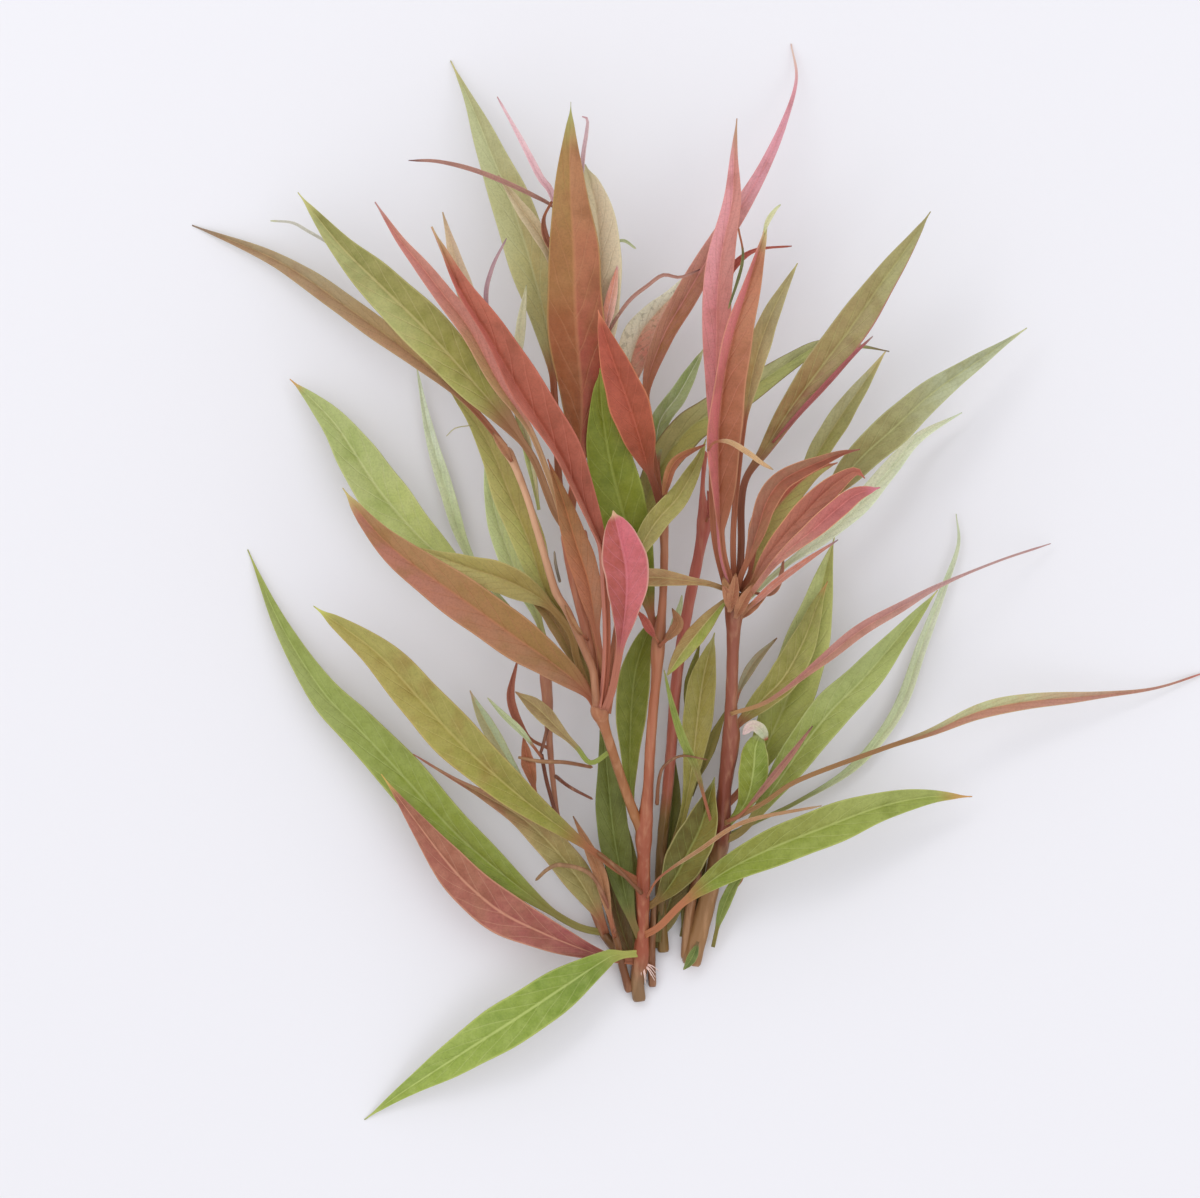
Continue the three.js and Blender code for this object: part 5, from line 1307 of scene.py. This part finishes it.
SMALL = Crown("small leaves, strips and bracts", tuple(replace(leaf, solid=False) for leaf in (
    Leaf("leaf_tan_behind_red", Slot.TAN, replace(
        TAN_STRIP, left=(212, 186, 152), right=(204, 178, 150),
    ), (
        (101.4, 160, 25), (99, 166, 26), (96, 174, 26.4), (93, 182, 26.4), (90.6, 190, 26),
        (88.6, 197.4, 25),
    ), width=3.8, fold=20),
    Leaf("leaf_pale_strip_far_left", Slot.PALE_GREEN, replace(
        PALE_STRIP, left=(205, 200, 190), right=(208, 203, 192), patch=(190, 182, 165),
    ), (
        (70, 188, 6), (65, 192, 6), (61, 194.4, 6), (58, 196, 6), (53.6, 196.4, 5.6),
    ), width=0.5, thickness=0.25, rib=0.2),
    Leaf("leaf_orange_pink_fold", Slot.ORANGE, replace(
        PINK_STRIP, left=(212, 140, 112), right=(222, 168, 144), patch=(200, 124, 100),
    ), (
        (120.2, 168, 28.4), (121, 174, 28.6), (122.2, 180, 28.4), (123.6, 187, 27.6),
    ), width=2.4),
    Leaf("leaf_thin_brown_arch", Slot.RED_BROWN, replace(
        BROWN_STRIP, left=(170, 122, 112), right=(178, 130, 118), patch=(140, 95, 80),
    ), (
        (115, 188.7, 24), (112, 197.1, 24), (106, 201.1, 24), (96, 205.5, 22), (88, 207.7, 19),
        (81.6, 208.1, 16),
    ), width=1, taper=0.7, thickness=0.25, rib=0.3),
    Leaf("leaf_tan_folded", Slot.TAN, replace(
        TAN_STRIP, left=(206, 188, 152), right=(200, 180, 142),
    ), (
        (112.6, 178, 22), (109.6, 190, 23), (104.4, 198, 22), (99.6, 205, 20),
    ), width=3.4, fold=30),
    Leaf("leaf_thin_pink", Slot.PINK, replace(
        PINK_STRIP, left=(230, 186, 192), right=(234, 196, 200),
    ), (
        (113.4, 188, 25), (110.6, 200.4, 25), (108, 204.6, 24), (104, 212.4, 22), (99.4, 220.8, 18),
    ), width=1.4, widest=0.35, rib=0.3),
    Leaf("leaf_hooked_pink", Slot.PINK, replace(
        PINK_STRIP, left=(200, 168, 172), right=(206, 176, 178), patch=(185, 145, 150),
    ), (
        (116, 198, 28), (116.6, 208, 28), (117.3, 213, 27), (117.5, 215.8, 26.6),
        (116.4, 216.4, 26.4),
    ), width=0.8, taper=0.6, thickness=0.25, rib=0.25),
    Leaf("leaf_muted_edge_on", Slot.RED_BROWN, MUTED_STRIP, (
        (100, 168, 31), (97.4, 179, 32), (98.4, 185.6, 32), (101.4, 192, 30),
    ), width=0.9, rib=0.3),
    Leaf("leaf_narrow_pale_middle", Slot.PALE_GREEN, replace(
        PALE_STRIP, left=(222, 218, 180), right=(218, 212, 176), patch=(200, 190, 150),
    ), (
        (102.8, 160, 22), (103.2, 166, 23), (103.9, 172, 23), (104.6, 178, 23), (105.3, 183, 22),
    ), width=2.1),
    Leaf("leaf_brown_beside_crown", Slot.BROWN, replace(
        DRY_STRIP, left=(158, 132, 80), right=(146, 116, 68), stalk=(150, 114, 70),
        patch=(120, 92, 50),
    ), (
        (117.4, 101.6, 20.5), (114.6, 108.6, 21.4), (111.6, 114.6, 21.6), (108, 119, 21.6),
        (104, 121.6, 21.2),
    ), width=3.4),
    # Painted shade: dark leaves laid in the gaps between the stems near their cut ends, partly
    # leaves of their own and partly the shade that falls there.
    Leaf("leaf_shaded_between_stems", Slot.DARK_GREEN, SHADED_STRIP, (
        (131.6, 51, 3.2), (133, 62, 3.6), (134, 72, 4), (134.6, 82, 4.4), (134.6, 91, 5),
    ), width=4.6),
    Leaf("leaf_shaded_left_of_stem", Slot.DARK_GREEN, SHADED_STRIP, (
        (127.4, 48, 2.4), (126.6, 58, 3), (125.4, 68, 3.4), (124.6, 78, 3.8),
    ), width=4.4),
    Leaf("leaf_shaded_brown_low", Slot.BROWN, replace(
        SHADED_STRIP, left=(104, 80, 50), right=(118, 100, 58), tip=(112, 104, 50),
    ), (
        (130.8, 50, 1.8), (133.4, 57, 2.2), (136, 65, 2.6), (138.4, 75, 3),
    ), width=6, petiole=0.05, widest=0.4),
    Leaf("leaf_shaded_brown_left", Slot.BROWN, replace(
        SHADED_STRIP, left=(118, 86, 54), right=(108, 80, 50), tip=(126, 96, 56),
    ), (
        (127.2, 46, 1.8), (124.6, 53, 2.2), (122.6, 61, 2.6), (121.4, 70, 3),
    ), width=4.6, petiole=0.05, widest=0.4),
    Leaf("leaf_shaded_olive_low", Slot.OLIVE, replace(
        SHADED_STRIP, left=(126, 112, 56), right=(134, 112, 60),
    ), (
        (136.6, 52, 1.6), (138.4, 61, 2), (139.8, 70, 2.4), (140.6, 79, 2.8),
    ), width=4.6, petiole=0.05),
    Leaf("leaf_olive_between_stems", Slot.OLIVE, replace(
        SHADED_STRIP, left=(150, 138, 74), right=(142, 128, 66), patch=(120, 104, 50),
    ), (
        (138.4, 80.6, 7.2), (140.8, 87, 8.2), (143, 92.6, 8.8), (145.4, 98, 9.2),
    ), width=2.4),
    Leaf("leaf_olive_behind_pale", Slot.OLIVE, replace(
        SHADED_STRIP, left=(150, 148, 72), right=(156, 152, 76), patch=(130, 126, 58),
    ), (
        (137.2, 94, 7.4), (137.8, 101, 7.8), (138.8, 106, 8.2), (140, 111, 8.6),
    ), width=2.4),
    Leaf("leaf_pale_beside_olive", Slot.PALE_GREEN, replace(
        PALE_STRIP, left=(172, 178, 106), right=(206, 192, 144), stalk=(172, 176, 108),
        patch=(190, 165, 120),
    ), (
        (107.8, 138, 23.6), (106.4, 146, 24), (104.6, 154, 24.2), (102.6, 160, 24.2),
        (100.2, 165, 24),
    ), width=2, petiole=0.03, rib=0.3),
    Leaf("leaf_grey_green_sliver", Slot.PALE_GREEN, PALE_STRIP, (
        (121, 190, 23), (124.4, 191.8, 23), (127.2, 190.2, 22),
    ), width=0.5, rib=0.25),
    Leaf("leaf_curled_dark_beside_orange", Slot.RED, replace(
        RED_STRIP, left=(140, 88, 66), right=(150, 98, 74), patch=(110, 62, 48),
    ), (
        (110.4, 199.4, 27), (108.8, 196, 28), (109.2, 192.4, 28.4), (110.8, 189.4, 28),
        (112.6, 187, 27),
    ), width=1.3, rib=0.3),
    Leaf("leaf_wavy_dark", Slot.RED_BROWN, replace(
        BROWN_STRIP, left=(176, 128, 116), right=(184, 136, 124), patch=(150, 100, 90),
    ), (
        (119.6, 166, 27), (121.8, 173.4, 27), (125.6, 179.4, 27), (129.4, 182.6, 26.6),
        (132.6, 184.8, 26), (136, 184.4, 25), (140, 186, 24),
    ), width=0.7, taper=0.6, thickness=0.25, rib=0.3),
    Leaf("leaf_striped_pale", Slot.PALE_GREEN, replace(
        PALE_STRIP, left=(148, 166, 98), right=(164, 178, 118), patch=(130, 145, 84),
        rib=(215, 222, 190), rib_share=0.8,
    ), (
        (131.8, 141, 13), (131.6, 154.4, 14), (136, 161.6, 14), (140.8, 170.4, 13),
    ), width=4, taper=0.8),
    Leaf("leaf_red_crescent", Slot.RED, replace(
        RED_STRIP, left=(164, 112, 68), right=(146, 88, 56), patch=(122, 76, 48),
    ), (
        (132.6, 138, 22), (133.2, 143, 28), (135.2, 147.8, 29), (141, 151, 29),
    ), width=2),
    Leaf("leaf_tan_arch_front", Slot.TAN, replace(
        TAN_STRIP, left=(210, 170, 125), right=(206, 164, 118), rib=(220, 185, 140),
    ), (
        (141.4, 149.6, 37), (142.6, 151.2, 38), (145.4, 151.4, 39), (149, 149.4, 39),
        (152, 147.2, 38), (154.4, 145.8, 37),
    ), width=1.1, taper=0.6, thickness=0.25, rib=0.3),
    Leaf("leaf_small_dark_red", Slot.RED, RED_STRIP, (
        (144, 172, 22), (145, 183.4, 23), (147.4, 187.4, 23), (151.4, 190, 22), (158.4, 190.8, 20),
    ), width=2.2, widest=0.25, taper=2),
    Leaf("leaf_pink_edge_strip", Slot.PINK, replace(
        PINK_STRIP, left=(160, 84, 84), right=(146, 80, 76), tip=(158, 122, 116),
        stalk=(150, 82, 72), rib=(180, 110, 104), rim=(172, 104, 98),
    ), (
        (154.4, 151.4, 26.2), (160.2, 157.8, 27.2), (166.2, 164.2, 27.4), (170.6, 169, 27),
        (174.4, 172.6, 26),
    ), width=1.1, petiole=0.05, taper=0.8),
    Leaf("leaf_pale_wisp_at_tip", Slot.TAN, replace(
        PALE_STRIP, left=(214, 214, 160), right=(222, 218, 172), stalk=(200, 200, 130),
    ), (
        (152.6, 193, 29.4), (153.4, 195.4, 28.8), (154.8, 197.6, 28.2), (156, 198.8, 27.8),
    ), width=1, petiole=0.05),
    Leaf("leaf_thin_dark_green", Slot.DARK_GREEN, replace(
        GREEN_STRIP, left=(104, 108, 66), right=(110, 112, 70),
    ), (
        (147.6, 194, 28), (148.4, 187.6, 28.6), (145.6, 178, 29),
    ), width=0.5, rib=0.3),
    Leaf("leaf_dry_curl_right", Slot.BROWN, replace(
        DRY_STRIP, left=(160, 105, 85), right=(168, 112, 90),
    ), (
        (149, 122, 24.4), (152, 121.2, 25.6), (154.4, 121.6, 26.4), (156, 124.4, 26.8),
        (156.6, 128.4, 26.6),
    ), width=1.3, rib=0.3),
    Leaf("leaf_brown_pink_strip", Slot.RED_BROWN, replace(
        MUTED_STRIP, left=(200, 120, 95), right=(196, 126, 104), patch=(160, 90, 70),
    ), (
        (147.2, 117, 22.6), (150.4, 119.2, 26), (155, 123.4, 29.4), (161, 127.8, 31.4),
        (167.4, 132, 30.4),
    ), width=1.5, petiole=0.03, thickness=0.25, rib=0.3),
    Leaf("leaf_green_edge_on", Slot.GREEN, replace(
        GREEN_STRIP, left=(140, 96, 62), right=(136, 100, 60), left_end=(130, 142, 60),
        right_end=(132, 144, 62), turns=0.35,
    ), (
        (142.6, 74.4, 11), (141, 80, 14), (139.2, 86.4, 17), (136.6, 92, 19), (134.4, 99, 21),
        (132.8, 106, 22.6),
    ), width=1.7, rib=0.3),
    Leaf("leaf_thin_tan_base", Slot.TAN, replace(
        TAN_STRIP, left=(176, 126, 86), right=(170, 122, 82),
    ), (
        (129.4, 60, 10), (132, 64.4, 15), (140, 70, 18), (149, 75.6, 18.5), (164.4, 78.8, 17.6),
    ), width=0.8, taper=0.6, rib=0.3),
    Leaf("leaf_green_behind_lower_right", Slot.GREEN, replace(GREEN_STRIP, stalk=(126, 116, 58)), (
        (142.8, 50, 2.2), (144.2, 56, 4), (146.6, 62, 5.4), (150, 66.6, 6.6),
    ), width=2.4),
    Leaf("leaf_dry_behind_lower_right", Slot.BROWN, DRY_STRIP, (
        (145.6, 60, 4), (148, 63.6, 5), (149.6, 67, 6),
    ), width=1.4, rib=0.3),
    Leaf("leaf_pale_curled_tip", Slot.PALE_GREEN, replace(
        PALE_STRIP, left=(190, 196, 160), right=(192, 190, 158), left_end=(220, 192, 188),
        right_end=(218, 188, 182), tip=(222, 190, 188), patch=(200, 180, 150),
    ), (
        (153.4, 92, 15.2), (152.2, 94, 16.2), (150.4, 94.8, 16.6), (148.6, 93, 15.8),
    ), width=2.4, petiole=0.02, taper=0.6),
    Leaf("leaf_pink_brown_strip", Slot.RED_BROWN, BROWN_STRIP, (
        (145.6, 75.6, 13), (148.6, 77.4, 15), (157, 87.4, 17), (162.6, 94.8, 17.6),
    ), width=1.5, rib=0.3),
    Leaf("leaf_thin_brown_right", Slot.BROWN, replace(
        DRY_STRIP, left=(158, 152, 122), right=(150, 142, 106), patch=(130, 115, 85),
    ), (
        (146.8, 97.6, 14), (148.4, 103, 12), (151.4, 108, 10.5), (155.6, 112.4, 9.6),
    ), width=2, rib=0.3),
    Leaf("leaf_small_brownish", Slot.BROWN, replace(
        DRY_STRIP, left=(174, 120, 84), right=(168, 116, 80),
    ), (
        (123, 52, 4.6), (121.8, 57, 9.4), (119.6, 66, 10.6), (114.6, 76.6, 11.6),
    ), width=2.8),
    Leaf("leaf_shrivelled_dark", Slot.RED, replace(
        RED_STRIP, left=(158, 98, 66), right=(164, 104, 70), patch=(120, 66, 46),
    ), (
        (107.2, 80, 10), (106.4, 84, 11.4), (105.4, 88, 11.8), (104.6, 92.6, 11.6),
    ), width=2.8, ripple=0.3),
    Leaf("leaf_pale_strip_left", Slot.PALE_GREEN, PALE_STRIP, (
        (108.6, 88, 11.4), (104.4, 93.4, 13), (100.6, 97, 13.4), (97.4, 100.4, 13),
    ), width=1.4, rib=0.25),
    Leaf("bract_left_stem", Slot.BROWN, DRY_STRIP, (
        (117.6, 112, 27.6), (115.6, 114, 30.6), (114, 116.6, 30.8), (113, 119, 30.4),
    ), width=1.3, rib=0.25),
    Leaf("bract_front_dark", Slot.RED, RED_STRIP, (
        (131.8, 111.4, 21.6), (130, 114, 23.6), (128.6, 116.4, 24), (127.2, 118, 23.6),
    ), width=1.8),
    Leaf("bract_front_orange", Slot.ORANGE, DRY_STRIP, (
        (131.8, 110.6, 21.6), (134, 113, 23), (135.6, 115.4, 22.8), (134.4, 118.4, 21.6),
    ), width=2.4),
    Leaf("sliver_grey_green", Slot.PALE_GREEN, PALE_STRIP, (
        (132.6, 112, 21), (134.6, 115, 20), (136, 118.6, 19), (136.4, 121, 18.4),
    ), width=1.4, rib=0.25),
    Leaf("bract_back_stem", Slot.RED, RED_STRIP, (
        (141, 135, 10.4), (142, 137.6, 11.6), (142, 140, 11.4), (141.6, 142, 11),
    ), width=1.2, rib=0.25),
    Leaf("bract_right_base", Slot.GREEN, replace(
        GREEN_STRIP, left=(92, 112, 54), right=(104, 120, 58), stalk=(120, 96, 62),
    ), (
        (140, 52, 3.8), (139.2, 49.4, 4.6), (138, 47, 4.4), (136.8, 45.4, 3.4),
    ), width=2),
    Leaf("bract_right_crown", Slot.BROWN, replace(
        DRY_STRIP, left=(190, 138, 96), right=(184, 130, 90),
    ), (
        (146, 117.6, 23.4), (145.6, 121, 24.6), (144.6, 124.6, 25),
    ), width=2.2, petiole=0.05, taper=0.8),
    Leaf("bract_right_crown_middle", Slot.BROWN, CROWN_STRIP, (
        (147, 116.4, 24), (148.6, 119.8, 26.6), (150.6, 123.2, 28),
    ), width=2.4, petiole=0.03, taper=0.8),
    Leaf("bract_right_crown_back", Slot.BROWN, CROWN_STRIP, (
        (145.8, 117.6, 24.6), (146.6, 121.6, 27.4), (147, 125.2, 29),
    ), width=2.4, petiole=0.03, taper=0.8),
    Leaf("bract_right_crown_edge", Slot.BROWN, CROWN_STRIP, (
        (148.2, 116.4, 23.2), (150.4, 118.6, 25.6), (153.4, 121.4, 27.6),
    ), width=1.8, petiole=0.03, taper=0.8),
    Leaf("bract_right_crown_left", Slot.BROWN, CROWN_STRIP, (
        (146.2, 118, 24.4), (145.4, 120.8, 27), (144.4, 123, 28.4),
    ), width=2, petiole=0.03, taper=0.8),
    Leaf("bract_left_crown", Slot.BROWN, replace(
        DRY_STRIP, left=(186, 132, 98), right=(178, 124, 90),
    ), (
        (102.4, 147.6, 25), (100.6, 150.6, 25), (98.6, 153.4, 24.2),
    ), width=1.8, petiole=0.05, taper=0.8),
)))

TWIGS = tuple(replace(twig, solid=False) for twig in (
    Stem("twig_dry_left", Slot.STEM_PINK, DRY_TWIG, (
        (103.6, 88.4, 12, 0.3), (108, 87.6, 12.6, 0.4), (113, 87.4, 13, 0.4),
        (118.6, 86.4, 13, 0.35),
    )),
    Stem("twig_dark_left", Slot.STEM_DARK, DARK_TWIG, (
        (109.6, 95, 10.6, 0.4), (108.6, 91, 11, 0.35), (107.8, 88.6, 11, 0.3),
    )),
    Stem("twig_short_left", Slot.STEM_DARK, DARK_TWIG, (
        (111, 84.6, 8.6, 0.4), (114, 82.4, 12.6, 0.35), (118.6, 80, 14, 0.25),
    )),
    Stem("twig_dark_arch", Slot.STEM_DARK, FADED_TWIG, (
        (123, 53, 6, 0.4), (121.4, 59, 10, 0.4), (118, 65, 12, 0.45), (112.4, 66.8, 12.4, 0.45),
        (109.6, 66, 12, 0.4), (107, 63.6, 11, 0.3),
    )),
    Stem("twig_dark_companion", Slot.STEM_DARK, DARK_TWIG, (
        (108.2, 89, 8.4, 0.4), (109.4, 83, 9, 0.4), (111.6, 75.6, 9, 0.4), (114, 69, 8, 0.4),
    )),
    Stem("twig_parallel_strand", Slot.STEM_RED, LEFT_STEM, (
        (121, 98.6, 25.4, 0.5), (121.4, 102, 26.6, 0.5), (120, 108, 27.6, 0.5),
        (118, 117.6, 27.8, 0.45), (117.8, 128, 27.4, 0.4), (117, 134, 27, 0.35),
    )),
    Stem("twig_red_petiole", Slot.STEM_RED, BROWN_TWIG, (
        (128.4, 61, 10.4, 0.45), (125.6, 64, 12.6, 0.4), (122.6, 67, 13.6, 0.4),
        (119.4, 69.4, 14, 0.3),
    )),
    Stem("twig_dark_petiole_arch", Slot.STEM_DARK, BROWN_TWIG, (
        (131.4, 79, 17.6, 0.4), (131.8, 84, 19, 0.35), (133, 87, 19.4, 0.3),
        (136.4, 88.8, 19, 0.25), (141.6, 88, 17, 0.15),
    )),
    Stem("hair_left", Slot.STEM_PINK, GREY_HAIR, (
        (94, 155, 16, 0.12), (91, 154.4, 17, 0.12), (89.2, 152.8, 17.4, 0.1),
    )),
    Stem("stub_grey", Slot.STEM_PINK, GREY_TWIG, (
        (112, 123.6, 26.4, 0.3), (111.2, 127, 28, 0.3), (110.9, 129.8, 28.6, 0.18),
    )),
    Stem("root_cluster_left", Slot.STEM_DARK, BROWN_TWIG, (
        (126, 41, 1.1, 0.9), (124.6, 46, 2.4, 0.8), (123.2, 52, 4, 0.7), (121.6, 57, 5.4, 0.5),
    )),
    Stem("root_cluster_middle", Slot.STEM_DARK, BROWN_TWIG, (
        (130.6, 42, 1, 0.8), (130.4, 48, 2.4, 0.8), (130.6, 54, 4, 0.7), (131, 60, 5, 0.5),
    )),
    Stem("root_cluster_right", Slot.STEM_PINK, DRY_TWIG, (
        (137.4, 47.6, 1.4, 1.1), (137.8, 54, 2.2, 1.1), (138.6, 60, 3.4, 1.0), (140, 66, 4.6, 0.9),
    )),
))


@dataclass(frozen=True)
class Rootlets:
    """Short pale rootlets round the lowest node of the front stem."""

    middle: Triple = (128.4, 46.6, 3.0)
    count: int = 8
    angles: tuple[float, float] = (-0.55 * math.pi, 0.2 * math.pi)
    start: float = 0.8  # millimetres from the middle of the stem
    reach: float = 2.8  # millimetres that the longest runs out
    shortest: float = 0.5  # as a share of the longest
    flatness: float = 0.8  # of the round that they run out by, along the stem
    drop: float = 1.4
    arch: float = 0.9
    arch_turn: float = 3.0  # radians from end to end
    sink: float = 0.6
    least_height: float = 0.3
    radius: float = 0.13
    ends: tuple[float, float] = (1.2, 0.8)  # share of the radius at the stem, and how much less
    places: tuple[float, ...] = (0.0, 0.3, 0.6, 1.0)  # shares of a rootlet's length

    def rise(self, share: float) -> float:
        """Height over the start at a share of the length."""
        return self.arch * math.sin(self.arch_turn * share) - self.sink * share

    def build(self, seed: int) -> None:
        """Builds the rootlets.

        With s the share of its length, each runs out by reach s at its own angle, bends
        towards the cut end by drop s^2, and rises by arch sin(3 s) - sink s.
        """
        random = np.random.default_rng(seed)
        x, y, z = self.middle
        thick, thinner = self.ends
        for number in range(self.count):
            angle = random.uniform(*self.angles)
            reach = self.reach * random.uniform(self.shortest, 1)
            across = math.cos(angle)
            down = math.sin(angle)
            points = tuple(
                (
                    x + (self.start + reach * share) * across,
                    y + (self.start + reach * share) * down * self.flatness - self.drop * share**2,
                    max(self.least_height, z + self.rise(share)),
                    self.radius * (thick - share * thinner),
                )
                for share in self.places
            )
            name = f"rootlet_{number + 1}"
            Stem(name, Slot.STEM_PINK, ROOT, points, solid=False, ridges=0).build()
        LOG.info("%d rootlets", self.count)


def main() -> None:
    """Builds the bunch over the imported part, then the studio."""
    logging.basicConfig(level=logging.INFO, format="%(name)s: %(message)s")
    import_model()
    for stem in (*STEMS, *TWIGS):
        stem.build()
    seed = 1
    for crown in (UPPER_LEFT, LEFT_NODE, BACK, FRONT, RIGHT, RIGHT_CROWN, SMALL):
        crown.build(seed)
        seed += len(crown.leaves)
    Rootlets().build(seed)
    Studio().build()


if __name__ == "__main__":
    main()
